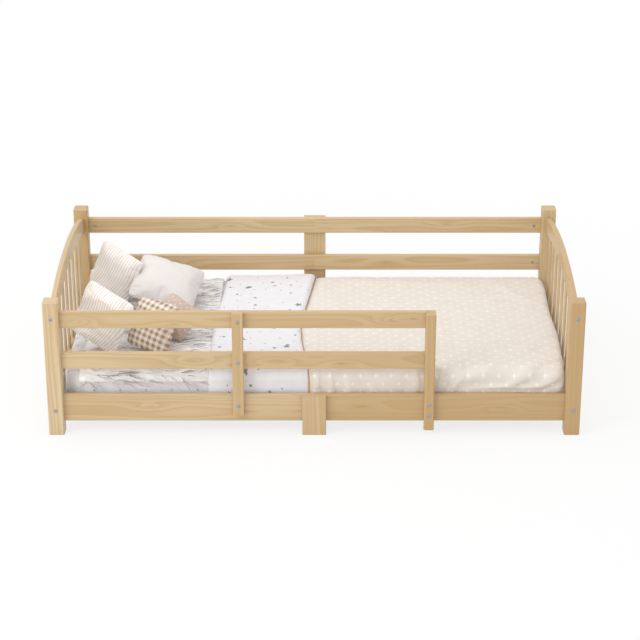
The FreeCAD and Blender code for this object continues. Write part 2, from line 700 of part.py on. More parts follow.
def flat_loft(outlines):
    """A solid through straight-sided outlines, with a flat face for each side of each step."""
    faces = [outlines[0], outlines[-1]]
    for low, high in zip(outlines, outlines[1:]):
        for i in range(len(low)):
            following = (i + 1) % len(low)
            faces.append([low[i], low[following], high[following], high[i]])
    shell = Part.makeShell([Part.Face(Part.makePolygon(face + face[:1])) for face in faces])
    shell.sewShape()
    return Part.makeSolid(shell)


def cushion(title):
    """A stuffed square: thin at its corners, full in the middle, seamed round the edge."""
    width, height, thickness = (size(f"{title}_{m}") for m in CUSHION_MEASURES[:3])
    shape = flat_loft([cushion_outline(width, height, thickness * level, scale)
                       for level, scale in CUSHION_LEVELS])
    turn, lean, roll = (size(f"{title}_{m}") for m in CUSHION_MEASURES[5:])
    facing = (FreeCAD.Rotation(FreeCAD.Vector(0, 0, 1), turn)
              * FreeCAD.Rotation(FreeCAD.Vector(1, 0, 0), 90 - lean)
              * FreeCAD.Rotation(FreeCAD.Vector(0, 0, 1), roll))
    above = size("mattress_top") + width + height
    from_middle = size(f"{title}_x") - size("mattress_length") / 2
    place = FreeCAD.Vector(from_middle, size(f"{title}_y"), above)
    return shape.transformed(FreeCAD.Placement(place, facing).toMatrix())


def settle(shape, direction, neighbours):
    """Move a shape along a direction until it almost touches a neighbour."""
    gap = shape.distToShape(neighbours)[0] - size("soft_clearance")
    while gap > SETTLED:
        shape.translate(direction * gap)
        gap = shape.distToShape(neighbours)[0] - size("soft_clearance")
    return shape


# ---------------------------------------------------------------- assembly
boards = {}
boards.update(side_rails())
boards.update(back_rails())
boards.update(guard_rails())

slatted_end("headboard", LEFT)
slatted_end("footboard", RIGHT)
for end in (LEFT, RIGHT):
    for row in (FRONT, BACK):
        post(end, row)

# the batten over the joint of the guard rails
batten = board("guard_batten", "z", "batten_width", SETBACK, "top_rail_top - batten_foot")
put(batten, "batten_centre - batten_width / 2", "-bed_width / 2", "batten_foot")
batten_bores = front_bolts("guard_batten", "batten_centre", (TOP_BOLT, MID_BOLT,
                           "batten_bolt_low"), "-bed_width / 2", f"{SETBACK} + rail_thickness")
for half in ("left", "right"):
    rail_bores[f"guard_top_rail_{half}"].append(batten_bores[0])
    rail_bores[f"guard_mid_rail_{half}"].append(batten_bores[1])
rail_bores["side_rail_front_left"].append(batten_bores[2])
keep(cut("guard_batten", batten, batten_bores), "guard_batten")

# the upright at the entry
end_post = guard_end_post()
end_post_bores = front_bolts("guard_end_post", "guard_end_left + guard_post_width / 2",
                             ("guard_bolt_low", "guard_bolt_high"), "-bed_width / 2",
                             f"{SETBACK} + rail_thickness")
rail_bores["side_rail_front_right"] += end_post_bores
keep(cut("guard_end_post", end_post, guard_post_bores + end_post_bores), "guard_end_post")

# the leg before the front joint and the batten behind the back joints, both down to the floor
leg = board("centre_leg_front", "z", "leg_width", SETBACK, "side_rail_top")
put(leg, "-leg_width / 2", "-bed_width / 2", "0")
back_batten = board("centre_batten_back", "z", "leg_width", SETBACK, "top_rail_top")
put(back_batten, "-leg_width / 2", RAIL_OUTER_Y, "0")
leg_bores, back_bores = [], []
for half, place in (("left", "-screw_spread"), ("right", "screw_spread")):
    into_leg = screws_through(f"leg_screw_{half}", "-y", [place], "-" + RAIL_INNER_Y,
                              ["side_bolt_low", "side_bolt_high"])
    leg_bores += into_leg
    rail_bores[f"side_rail_front_{half}"] += into_leg
    for rail, heights in (("side_rail_back", ("side_bolt_low", "side_bolt_high")),
                          ("back_mid_rail", (MID_BOLT,)), ("back_top_rail", (TOP_BOLT,))):
        fixing = screws_through(f"{rail}_batten_screw_{half}", "-y", [place], "bed_width / 2",
                                heights)
        back_bores += fixing
        rail_bores[f"{rail}_{half}"] += fixing
keep(cut("centre_leg_front", leg, leg_bores), "centre_leg_front")
keep(cut("centre_batten_back", back_batten, back_bores), "centre_batten_back")

for row in (FRONT, BACK):
    for end in (LEFT, RIGHT):
        ledge(row, end)
beam = board("centre_support_beam", "y", "beam_thickness", "ledge_top", f"2 * {RAIL_INNER_Y}")
put(beam, "-beam_thickness / 2", "-" + RAIL_INNER_Y, "0")
keep(beam, "centre_support_beam")
deck_slats()

for rail_name, rail_board in boards.items():
    keep(cut(rail_name, rail_board, rail_bores[rail_name]), rail_name)

under = [mattress(), cover("fur_throw", "throw_left", "quilt_left", "throw_thickness",
                           "throw_fold", (0.3, 1, 0.5, 1, 0.3))]
doc.recompute()
cover("star_quilt", "quilt_left", "duvet_left", "quilt_thickness", "quilt_fold",
      (0.6, 1, 0.5, 1, 0.7))
cover("duvet", "duvet_left", "duvet_right", "duvet_thickness", "duvet_fold",
      (0.6, 1.2, 0.7, 1.1, 0.8, 1.2, 0.4))
down = FreeCAD.Vector(0, 0, -1)
for title in CUSHIONS:
    piece = doc.addObject("Part::Feature", "pillow_" + title)
    piece.Shape = settle(cushion(title), down, Part.makeCompound([u.Shape for u in under]))
    under.append(keep(piece, "pillow_" + title))

for group, pieces in (("post_bolts", bolts), ("barrel_nuts", barrel_nuts),
                      ("guard_bolts", guard_bolts), ("sleeve_nuts", sleeve_nuts),
                      ("wood_screws", screws), ("wood_dowels", dowels)):
    keep(bunch("Part::Compound", group, pieces), group)


# ---------------------------------------------------------------- write the pieces
def write_all():
    doc.recompute()
    for obj in doc.Objects:
        if "Invalid" in obj.State or "Error" in obj.State:
            raise RuntimeError(f"{obj.Name}: {obj.State}")
    os.makedirs("parts", exist_ok=True)
    for obj in nodes:
        if obj.Shape.isNull() or not obj.Shape.isValid():
            raise RuntimeError(f"{obj.Label} has no valid shape")
        obj.Shape.exportStep(f"parts/{obj.Label}.step")
    print(len(nodes), "pieces written")


write_all()
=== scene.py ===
"""Looks of the floor bed: lacquered pine, zinc-plated fasteners, mattress, covers and cushions."""

import json
import math
import random

import bmesh
import bpy
from mathutils import Matrix, Vector, noise


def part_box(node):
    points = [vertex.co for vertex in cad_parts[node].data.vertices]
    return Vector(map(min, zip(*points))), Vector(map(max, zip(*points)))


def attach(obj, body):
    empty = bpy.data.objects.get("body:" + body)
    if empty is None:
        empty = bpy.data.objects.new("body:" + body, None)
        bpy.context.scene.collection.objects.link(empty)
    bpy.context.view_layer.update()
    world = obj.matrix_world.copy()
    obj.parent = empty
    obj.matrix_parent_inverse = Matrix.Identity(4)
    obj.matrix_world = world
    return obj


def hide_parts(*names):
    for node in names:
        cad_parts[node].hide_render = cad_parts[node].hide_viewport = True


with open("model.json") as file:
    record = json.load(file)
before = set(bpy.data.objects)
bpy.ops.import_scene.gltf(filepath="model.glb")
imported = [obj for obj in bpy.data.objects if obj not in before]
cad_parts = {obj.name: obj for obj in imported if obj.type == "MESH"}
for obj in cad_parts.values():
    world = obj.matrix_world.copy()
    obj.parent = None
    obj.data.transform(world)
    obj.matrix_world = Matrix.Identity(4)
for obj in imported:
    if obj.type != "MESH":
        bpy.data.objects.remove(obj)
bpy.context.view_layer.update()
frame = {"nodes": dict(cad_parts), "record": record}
MM = 0.001
TAU = 2 * math.pi
BOXES = {name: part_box(name) for name in frame["nodes"]}  # each solid's lowest and highest corner


# ---------------------------------------- camera and light
CAMERA_PLACE = (0.02188, -7.23993, 3.32252)
CAMERA_TILT = 23.0176
CAMERA_LENS = 110.78
LAMPS = (  # name, place, size, watts, colour
    ("key", (-3.6, -3.0, 3.0), 2.4, 86, (1.0, 0.99, 0.98)),
    ("fill", (0.6, -5.0, 1.2), 3.0, 8, (0.99, 0.99, 1.0)),
    ("top", (-0.2, 0.4, 4.2), 3.6, 50, (1.0, 0.995, 0.985)),
)
LAMP_AIM = (0, 0, 0.25)
WORLD_STRENGTH = 0.82
FLOOR_GLOW_NEAR, FLOOR_GLOW_FAR = 0.80, 1.0  # how far the floor is lifted to white
FLOOR_NEAR, FLOOR_FAR = 1.2, 2.6


def put(data, place, turn):
    """Set up a camera or a lamp."""
    obj = bpy.data.objects.new(data.name, data)
    obj.location = place
    obj.rotation_euler = turn
    bpy.context.scene.collection.objects.link(obj)
    return obj


def set_camera():
    data = bpy.data.cameras.new("camera")
    data.lens = CAMERA_LENS
    bpy.context.scene.camera = put(data, CAMERA_PLACE, (math.radians(90 - CAMERA_TILT), 0, 0))


def set_lamps():
    for name, place, width, watts, colour in LAMPS:
        data = bpy.data.lights.new(name, "AREA")
        data.size, data.energy, data.color = width, watts, colour
        aim = Vector(LAMP_AIM) - Vector(place)
        put(data, place, aim.to_track_quat("-Z", "Y").to_euler())


# ---------------------------------------- small tools for materials
def srgb(red, green, blue):
    """A colour given as it looks on screen, 0 to 255."""
    def linear(value):
        value /= 255
        return value / 12.92 if value <= 0.04045 else ((value + 0.055) / 1.055) ** 2.4
    return (linear(red), linear(green), linear(blue), 1)


def blend(first, second, share):
    return tuple(a + (b - a) * share for a, b in zip(first, second))


class Nodes:
    """A material's nodes, or the world's, as short calls that return their first output."""

    def __init__(self, name, family=bpy.data.materials):
        self.owner = family.new(name)
        self.owner.use_nodes = True
        self.tree = self.owner.node_tree
        self.shader = self.tree.nodes.get("Principled BSDF")

    def add(self, kind, sockets=None, **settings):
        node = self.tree.nodes.new("ShaderNode" + kind)
        for key, value in settings.items():
            setattr(node, key, value)
        for key, value in (sockets or {}).items():
            self.feed(node.inputs[key], value)
        return node

    def feed(self, socket, value):
        if isinstance(value, bpy.types.NodeSocket):
            self.tree.links.new(value, socket)
        else:
            socket.default_value = value

    def calc(self, operation, *values):
        return self.add("Math", dict(enumerate(values)), operation=operation).outputs[0]

    def plus(self, first, second):
        return self.calc("ADD", first, second)

    def minus(self, first, second):
        return self.calc("SUBTRACT", first, second)

    def times(self, first, second):
        return self.calc("MULTIPLY", first, second)

    def squares(self, first, second):
        """The sum of two squares."""
        return self.plus(self.times(first, first), self.times(second, second))

    def mix(self, share, first, second):
        return self.add("Mix", {0: share, 6: first, 7: second}, data_type="RGBA").outputs[2]

    def noise(self, vector, scale, detail=2.0, roughness=0.5):
        node = self.add("TexNoise", {"Vector": vector, "Scale": scale, "Detail": detail,
                                     "Roughness": roughness})
        return node.outputs["Fac"]

    def vector(self, operation, first, second):
        return self.add("VectorMath", {0: first, 1: second}, operation=operation).outputs[0]

    def length(self, vector):
        return self.add("VectorMath", {0: vector}, operation="LENGTH").outputs["Value"]

    def joined(self, x, y, z):
        return self.add("CombineXYZ", {0: x, 1: y, 2: z}).outputs[0]

    def parts(self, vector):
        return self.add("SeparateXYZ", {0: vector}).outputs

    def range(self, value, low, high, to_low=0.0, to_high=1.0):
        node = self.add("MapRange", {0: value, 1: low, 2: high, 3: to_low, 4: to_high})
        return node.outputs[0]

    def place(self):
        return self.add("TexCoord").outputs["Object"]

    def flat(self):
        """Places on the cloth before it was laid, in metres."""
        return self.add("UVMap", uv_map="flat").outputs[0]

    def bump(self, height, strength, distance):
        node = self.add("Bump", {"Height": height, "Strength": strength, "Distance": distance})
        return node.outputs[0]

    def finish(self, colour, roughness, normal=None, **constants):
        self.feed(self.shader.inputs["Base Color"], colour)
        self.feed(self.shader.inputs["Roughness"], roughness)
        if normal is not None:
            self.feed(self.shader.inputs["Normal"], normal)
        for key, value in constants.items():
            self.shader.inputs[key.replace("_", " ")].default_value = value
        return self.owner


# ---------------------------------------- pine
PINE_LIGHT = srgb(213, 193, 157)
PINE_WARM = srgb(201, 175, 133)
PINE_LINE = srgb(186, 150, 100)
PINE_KNOT = srgb(148, 102, 62)
# a deep honey colour: partly the boards' own tone, partly painted shade away from the key light
PINE_HONEY_AND_PAINTED_SHADE = srgb(188, 150, 96)
RING_STEP = 5.5 * MM
SMALL_WANDER, WIDE_WANDER = 14 * MM, 30 * MM  # how far the rings leave a true circle
EYE_LONG, EYE_HIGH = 85 * MM, 17 * MM  # half length and half height of an oval figure
HEART = -22.0  # how fast an eye's dark heart fades
GRAIN_STRETCH = 0.16  # grain changes this much slower along a board than across it
LINES_ACROSS, LINES_ALONG = 130.0, 2.2
FIBRES_ACROSS, FIBRES_ALONG = 420.0, 7.0
PITH_AWAY = 80 * MM
GRAIN_ORDER = {"x": (1, 2, 0), "y": (0, 2, 1), "z": (0, 1, 2)}


def pine(name, grain, pith, eyes=(), tone=0.0):
    """Flat-sawn pine with its grain along one axis.

    pith is how far the middle of the tree lies from the frame's origin, across the grain, and
    eyes are oval figures on the face, as (place along the grain, place across, height).
    tone is 0 for a pale board and 1 for one of deep honey colour, which is partly painted shade.
    """
    n = Nodes(name)
    first, second, along = GRAIN_ORDER[grain]
    spot = n.parts(n.place())
    across, up, run = spot[first], spot[second], spot[along]

    def drawn_out(fine, coarse):
        return n.joined(n.times(across, fine), n.times(up, fine), n.times(run, coarse))

    line = n.joined(across, up, n.times(run, GRAIN_STRETCH))
    small = n.minus(n.noise(line, 9.0), 0.5)
    wide = n.minus(n.noise(n.vector("ADD", line, (3.1, 1.7, 5.3)), 3.2, 1.0), 0.5)
    reach = n.calc("SQRT", n.squares(n.minus(across, pith[0]), n.minus(up, pith[1])))
    reach = n.plus(reach, n.times(small, SMALL_WANDER))
    reach = n.plus(reach, n.times(wide, WIDE_WANDER))
    knots = 0.0
    for at_run, at_up, height in eyes:
        away = n.squares(n.calc("DIVIDE", n.minus(run, at_run), EYE_LONG),
                         n.calc("DIVIDE", n.minus(up, at_up), EYE_HIGH))
        reach = n.plus(reach, n.times(n.calc("EXPONENT", n.times(away, -1.0)), height))
        knots = n.calc("MAXIMUM", knots, n.calc("EXPONENT", n.times(away, HEART)))
    ring = n.calc("FRACT", n.calc("DIVIDE", reach, RING_STEP))
    late = n.times(n.range(ring, 0.25, 0.9), n.range(ring, 1.0, 0.93))
    # blending towards honey deepens a board: partly its own tone, partly painted shade
    pale, warm = (blend(colour, PINE_HONEY_AND_PAINTED_SHADE, tone) for colour in (PINE_LIGHT, PINE_WARM))
    body = n.mix(n.range(n.noise(line, 5.0), 0.3, 0.7), pale, warm)
    ringed = n.mix(n.times(late, 0.50), body, PINE_LINE)
    lines = n.noise(drawn_out(LINES_ACROSS, LINES_ALONG), 1.0)
    lined = n.mix(n.range(lines, 0.5, 0.75, 0.0, 0.20), ringed, PINE_LINE)
    fibres = n.noise(drawn_out(FIBRES_ACROSS, FIBRES_ALONG), 1.0, 3.0, 0.6)
    streaked = n.mix(n.range(fibres, 0.45, 0.8, 0.0, 0.32), lined, PINE_LINE)
    colour = n.mix(n.times(knots, 0.30), streaked, PINE_KNOT)
    normal = n.bump(n.plus(fibres, n.times(late, 0.7)), 0.25, 0.4 * MM)
    gloss = n.range(fibres, 0.3, 0.8, 0.40, 0.52)
    return n.finish(colour, gloss, normal, Coat_Weight=0.12, Coat_Roughness=0.3)


TONES_AND_PAINTED_SHADE = {  # boards of a deeper tone: partly their own tone, partly painted shade on the right-hand pieces
    "post_front_right": 0.60, "post_back_left": 0.60, "side_rail_front_right": 0.55,
    "guard_top_rail_right": 0.25, "guard_mid_rail_right": 0.20, "guard_end_post": 0.45,
    "post_back_right": 0.15, "footboard_arch_rail": 0.25, "footboard_slats": 0.35,
    "guard_batten": 0.32, "back_top_rail_right": 0.10, "back_mid_rail_left": 0.12,
    "centre_leg_front": 0.20, "side_rail_front_left": 0.05,
}
SAWN = {  # rails along X: pith away from the middle, eyes on the face
    "guard_top_rail_left": ((0.080, 0.006), ((-0.905, 0.460, 0.017), (-0.52, 0.45, 0.006))),
    "guard_top_rail_right": ((0.085, -0.010), ((0.372, 0.470, 0.018), (0.29, 0.462, 0.010))),
    "guard_mid_rail_left": ((0.078, -0.014), ((-0.45, 0.300, 0.012),)),
    "guard_mid_rail_right": ((0.090, 0.010), ((-0.14, 0.300, 0.011), (0.10, 0.29, 0.007))),
    "side_rail_front_left": ((0.095, -0.012), ((-0.62, 0.110, 0.008),)),
    "side_rail_front_right": ((0.088, 0.016), ((0.70, 0.105, 0.009), (0.18, 0.11, 0.006))),
    "back_top_rail_left": ((-0.075, 0.010), ((-0.35, 0.465, 0.008),)),
    "back_top_rail_right": ((-0.082, -0.014), ((0.55, 0.470, 0.008),)),
    "back_mid_rail_left": ((-0.090, -0.010), ((-0.60, 0.300, 0.007),)),
    "back_mid_rail_right": ((-0.078, 0.012), ((0.30, 0.300, 0.007),)),
}


def grain_of(node):
    """Wood runs along a piece's longest side, and upright in a group of slats."""
    if node.endswith("_slats"):
        return "z"
    low, high = BOXES[node]
    sides = high - low
    return "xyz"[max(range(3), key=lambda i: sides[i])]


def clothe_wood():
    slots = {s["node"]: s["material_slot"] for s in frame["record"]["subparts"]}
    for name, obj in sorted(frame["nodes"].items()):
        if slots.get(name) not in ("pine", "beech_dowel"):
            continue
        angle = random.Random(name).uniform(0.5, 2.6)
        anywhere = (math.cos(angle) * PITH_AWAY, math.sin(angle) * PITH_AWAY)
        pith, eyes = SAWN.get(name, (anywhere, ()))
        grain = grain_of(name)
        first, second, _ = GRAIN_ORDER[grain]
        low, high = BOXES[name]
        centre = (low + high) / 2
        away = (centre[first] + pith[0], centre[second] + pith[1])
        # a deeper tone on the right-hand boards is painted shade, away from the key light
        material = pine("pine_" + name, grain, away, eyes, TONES_AND_PAINTED_SHADE.get(name, 0.0))
        obj.data.materials.clear()
        obj.data.materials.append(material)


# ---------------------------------------- making pieces
def new_mesh(name, vertices, faces, material, smooth=True):
    data = bpy.data.meshes.new(name)
    data.from_pydata([tuple(v) for v in vertices], [], faces)
    data.validate()
    data.materials.append(material)
    data.polygons.foreach_set("use_smooth", [smooth] * len(data.polygons))
    obj = bpy.data.objects.new(name, data)
    bpy.context.scene.collection.objects.link(obj)
    return obj


def stand_for(obj, node):
    """Let a piece take the place of a solid."""
    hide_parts(node)
    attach(obj, "root")


class Shape:
    """Vertices and faces that grow part by part."""

    def __init__(self):
        self.vertices, self.faces = [], []

    def add(self, vertices, faces):
        start = len(self.vertices)
        self.vertices += vertices
        self.faces += [tuple(start + i for i in face) for face in faces]


def ring_faces(rings, sides):
    """Faces between rings of vertices that were written one after another."""
    faces = []
    for a in range(0, (rings - 1) * sides, sides):
        for i in range(sides):
            following = (i + 1) % sides
            faces.append((a + i, a + following, a + sides + following, a + sides + i))
    return faces


def closed_faces(rings, sides):
    """Faces between rings, over the first of them and over the last."""
    first, last = range(sides), range((rings - 1) * sides, rings * sides)
    return ring_faces(rings, sides) + [tuple(first)[::-1], tuple(last)]


def grid_faces(columns, rows, start=0):
    """Faces of a grid of vertices that was written row by row."""
    faces = []
    for row in range(rows - 1):
        for column in range(columns - 1):
            a = start + row * columns + column
            faces.append((a, a + 1, a + columns + 1, a + columns))
    return faces


def extremes(points):
    """The lowest and the highest corner of a set of points."""
    low = Vector(min(p[i] for p in points) for i in range(3))
    high = Vector(max(p[i] for p in points) for i in range(3))
    return low, high


def smooth_step(value, low, high):
    share = min(1, max(0, (value - low) / (high - low)))
    return share * share * (3 - 2 * share)


def bend(x, y, seed, wave):
    """A smooth random height, from about -1 to 1, with hills this far apart."""
    return noise.noise(Vector((x / wave, y / wave, seed)))


# ---------------------------------------- metal
ZINC = srgb(192, 193, 196)
ZINC_DARK = srgb(136, 138, 144)
HEAD_SIDES, SHANK_SIDES = 36, 20
HEAD_PROFILE = (  # shares of the head's radius and height, from the seat over the dome
    (0.93, 0.0), (1.0, 0.12), (1.0, 0.36), (0.95, 0.62), (0.80, 0.86), (0.58, 0.98), (0.47, 1.0),
)
SOCKET_WIDE, SOCKET_FLOOR = 0.44, 0.28  # shares of the head's radius and height
BOLT_HEAD, SCREW_HEAD = (7.5 * MM, 2.2 * MM), (4 * MM, 1.6 * MM)  # radius and height
BOLT_SHANK, SCREW_SHANK = 3 * MM, 2 * MM
BARREL_RADIUS, BARREL_EDGE = 6 * MM, 0.5 * MM
SLOT_HALF, SLOT_DEEP, SLOT_SHORT = 0.9 * MM, 1.2 * MM, 1.4 * MM
CRISP = math.radians(35)  # edges between faces that meet at more than this stay sharp


def zinc():
    n = Nodes("zinc_plate")
    cloud = n.noise(n.place(), 900.0, 3.0)
    colour = n.mix(n.range(cloud, 0.35, 0.7), ZINC, ZINC_DARK)
    normal = n.bump(n.noise(n.place(), 2600.0), 0.15, 0.2 * MM)
    return n.finish(colour, n.range(cloud, 0.3, 0.7, 0.28, 0.42), normal, Metallic=0.9)


def solids_of(node):
    """The separate solids of a node, each as a list of its vertices' places."""
    mesh = bmesh.new()
    mesh.from_mesh(frame["nodes"][node].data)
    bmesh.ops.remove_doubles(mesh, verts=mesh.verts, dist=1e-6)
    waiting, solids = set(mesh.verts), []
    while waiting:
        group, front = [], [waiting.pop()]
        while front:
            vertex = front.pop()
            group.append(vertex.co.copy())
            for edge in vertex.link_edges:
                other = edge.other_vert(vertex)
                if other in waiting:
                    waiting.remove(other)
                    front.append(other)
        solids.append(group)
    mesh.free()
    solids.sort(key=lambda g: tuple(round(c, 4) for c in sum(g, Vector()) / len(g)))
    return solids


def axis_and_ends(points, pick=max):
    """A solid's axis, its longest side unless told otherwise, and where it meets both ends."""
    low, high = extremes(points)
    sides = high - low
    axis = pick(range(3), key=lambda i: sides[i])
    near = (low + high) / 2
    far = near.copy()
    near[axis], far[axis] = low[axis], high[axis]
    return axis, near, far


def turned(profile, sides, facing, place, up="Y"):
    """Rings of a turned profile, given as (radius, height), around a direction."""
    turn = facing.to_track_quat("Z", up).to_matrix()
    vertices = []
    for radius, height in profile:
        for i in range(sides):
            angle = TAU * i / sides
            ring = Vector((radius * math.cos(angle), radius * math.sin(angle), height))
            vertices.append(place + turn @ ring)
    return vertices


def add_head(shape, place, facing, size):
    """A low domed head with a six-sided socket."""
    radius, height = size
    profile = [(r * radius, h * height) for r, h in HEAD_PROFILE]
    vertices = turned(profile, HEAD_SIDES, facing, place)
    turn = facing.to_track_quat("Z", "Y").to_matrix()
    for depth in (height, height * SOCKET_FLOOR):
        for i in range(HEAD_SIDES):
            angle = TAU * i / HEAD_SIDES
            within = math.fmod(angle, TAU / 6) - TAU / 12
            flat = SOCKET_WIDE * radius * math.cos(TAU / 12) / math.cos(within)
            corner = Vector((flat * math.cos(angle), flat * math.sin(angle), depth))
            vertices.append(place + turn @ corner)
    shape.add(vertices, closed_faces(len(profile) + 2, HEAD_SIDES))


def add_shank(shape, near, far, radius):
    facing = far - near
    profile = [(radius, 0), (radius, facing.length)]
    vertices = turned(profile, SHANK_SIDES, facing.normalized(), near)
    shape.add(vertices, closed_faces(2, SHANK_SIDES))


def wide_end(points, axis, near, far):
    """Which end of a solid is its head: the end whose outline is larger."""
    def spread(end):
        close = [p for p in points if abs(p[axis] - end[axis]) < 1 * MM]
        return max((p - end).length for p in close)
    return (near, far) if spread(near) > spread(far) else (far, near)


def metal_piece(name, node, shape, material):
    """A piece with smooth rounds and crisp edges, in place of a group of fasteners."""
    obj = new_mesh(name, shape.vertices, shape.faces, material)
    mesh = bmesh.new()
    mesh.from_mesh(obj.data)
    for edge in mesh.edges:
        edge.smooth = not (edge.is_manifold and edge.calc_face_angle(0) > CRISP)
    mesh.to_mesh(obj.data)
    mesh.free()
    stand_for(obj, node)


def headed_fasteners(node, name, head_size, shank_radius, material):
    """Round bolts or screws with sockets in their heads."""
    shape = Shape()
    for points in solids_of(node):
        head, tip = wide_end(points, *axis_and_ends(points))
        facing = (head - tip).normalized()
        seat = head - facing * head_size[1]
        add_head(shape, seat, facing, head_size)
        add_shank(shape, tip, seat, shank_radius)
    metal_piece(name, node, shape, material)


def slotted_nuts(node, name, material):
    """Barrel nuts: a round bar with a screwdriver's slot across each end."""
    shape, rim = Shape(), BARREL_RADIUS - BARREL_EDGE
    for points in solids_of(node):
        _, near, far = axis_and_ends(points)
        facing, long = (far - near).normalized(), (far - near).length
        profile = [(rim, 0), (BARREL_RADIUS, BARREL_EDGE),
                   (BARREL_RADIUS, long - BARREL_EDGE), (rim, long)]
        vertices = turned(profile, HEAD_SIDES, facing, near)
        faces = ring_faces(len(profile), HEAD_SIDES)
        turn = facing.to_track_quat("Z", "Y").to_matrix()
        for end, ring, outward in ((0.0, 0, -1), (long, 3 * HEAD_SIDES, 1)):
            faces += slotted_end(ring, len(vertices), outward)
            for level in (end, end - outward * SLOT_DEEP):
                for u, v in ((-1, -1), (1, -1), (1, 1), (-1, 1)):
                    corner = Vector((u * (BARREL_RADIUS - SLOT_SHORT), v * SLOT_HALF, level))
                    vertices.append(near + turn @ corner)
        shape.add(vertices, faces)
    metal_piece(name, node, shape, material)


def slotted_end(ring, inner, outward):
    """Faces from a round rim to a slot's four corners, down its walls and over its floor."""
    marks = [HEAD_SIDES * k // 4 + HEAD_SIDES // 8 for k in range(4)]
    faces = []
    for a in range(4):
        b = (a + 1) % 4
        from_mark, to_mark = marks[(a + 2) % 4], marks[(a + 3) % 4]
        span = (to_mark - from_mark) % HEAD_SIDES
        arc = [ring + (from_mark + s) % HEAD_SIDES for s in range(span + 1)]
        faces.append(tuple(arc + [inner + b, inner + a]))
        faces.append((inner + a, inner + b, inner + 4 + b, inner + 4 + a))
    faces.append(tuple(inner + 4 + k for k in range(4)))
    return faces if outward > 0 else [face[::-1] for face in faces]


def clothe_metal():
    metal = zinc()
    headed_fasteners("post_bolts", "socket_bolts", BOLT_HEAD, BOLT_SHANK, metal)
    headed_fasteners("guard_bolts", "guard_socket_bolts", BOLT_HEAD, BOLT_SHANK, metal)
    headed_fasteners("wood_screws", "round_head_screws", SCREW_HEAD, SCREW_SHANK, metal)
    slotted_nuts("barrel_nuts", "slotted_barrel_nuts", metal)
    heads = Shape()
    for points in solids_of("sleeve_nuts"):
        _, near, far = axis_and_ends(points, pick=min)
        add_head(heads, near, (far - near).normalized(), BOLT_HEAD)
    metal_piece("sleeve_nut_heads", "sleeve_nuts", heads, metal)


# ---------------------------------------- cloth materials
THREAD = 0.9 * MM
SOFT_EDGE = 0.35 * MM  # a print's edge fades over this much on either side


def weave(n, flat):
    """The height of a plain weave, with threads that are thicker in places."""
    part = n.parts(flat)
    warp, weft = (n.calc("SINE", n.times(part[axis], TAU / THREAD)) for axis in (0, 1))
    slub = n.noise(n.vector("MULTIPLY", flat, (1.0, 0.25, 1.0)), 160.0, 3.0)
    return n.plus(n.times(warp, weft), n.times(slub, 1.6))


def cloth(name, colour_of, shade, sheen=0.12):
    """A woven cotton; colour_of paints its pattern and shade is its darker tint."""
    n = Nodes(name)
    flat = n.flat()
    colour = colour_of(n, flat)
    mottled = n.mix(n.range(n.noise(flat, 22.0, 4.0), 0.35, 0.75, 0.0, 0.35), colour, shade)
    tinted = n.mix(0.18, mottled, n.mix(n.noise(flat, 700.0), colour, shade))
    normal = n.bump(weave(n, flat), 0.35, 0.35 * MM)
    return n.finish(tinted, 0.88, normal, Sheen_Weight=sheen, Sheen_Roughness=0.5)


def cell(n, value, step):
    """Place within a repeat, from -0.5 to 0.5 of the step, in metres, and the repeat's number."""
    turns = n.calc("DIVIDE", value, step)
    number = n.calc("FLOOR", n.plus(turns, 0.5))
    return n.times(n.minus(turns, number), step), number


def inside(n, value, limit):
    """One where a distance is under its limit."""
    return n.range(value, limit + SOFT_EDGE, limit - SOFT_EDGE)


def staggered(n, flat, step_u, step_v):
    """Place within a cell of a grid whose every other row is shifted by half a step."""
    part = n.parts(flat)
    v, row = cell(n, part[1], step_v)
    odd = n.times(n.calc("PINGPONG", row, 1.0), 0.5 * step_u)
    u, _ = cell(n, n.plus(part[0], odd), step_u)
    return u, v


CREAM = srgb(230, 225, 219)
CROSS_WHITE = srgb(251, 249, 247)
CROSS_STEP_U, CROSS_STEP_V = 58 * MM, 28 * MM
CROSS_ARM, CROSS_HALF_WIDTH = 7.6 * MM, 1.6 * MM


def crosses(n, flat):
    steps = staggered(n, flat, CROSS_STEP_U, CROSS_STEP_V)
    u, v = (n.calc("ABSOLUTE", value) for value in steps)
    lying = n.times(inside(n, u, CROSS_ARM), inside(n, v, CROSS_HALF_WIDTH))
    standing = n.times(inside(n, v, CROSS_ARM), inside(n, u, CROSS_HALF_WIDTH))
    return n.mix(n.calc("MAXIMUM", lying, standing), CREAM, CROSS_WHITE)


STAR_NOTCH = 0.42  # how far out the notches between a star's points begin


def star_shape(n, reach, angle, soft):
    """One inside a five-pointed star, with reach as a share of its radius."""
    fold = n.calc("PINGPONG", angle, TAU / 10)
    edge_x = STAR_NOTCH * math.sin(TAU / 10)
    edge_y = 1 - STAR_NOTCH * math.cos(TAU / 10)
    level = n.plus(n.times(n.times(reach, n.calc("COSINE", fold)), edge_x),
                   n.times(n.times(reach, n.calc("SINE", fold)), edge_y))
    return n.range(level, edge_x * (1 + soft), edge_x * (1 - soft))


QUILT_WHITE = srgb(234, 233, 236)
STAR_GREY = srgb(74, 75, 82)
STAR_FIELDS = (  # spacing, star radius, share of cells with a star, shift of the field
    (0.150, 0.0205, 0.42, 0.0), (0.085, 0.0105, 0.70, 0.37), (0.062, 0.0048, 0.62, 0.71),
)


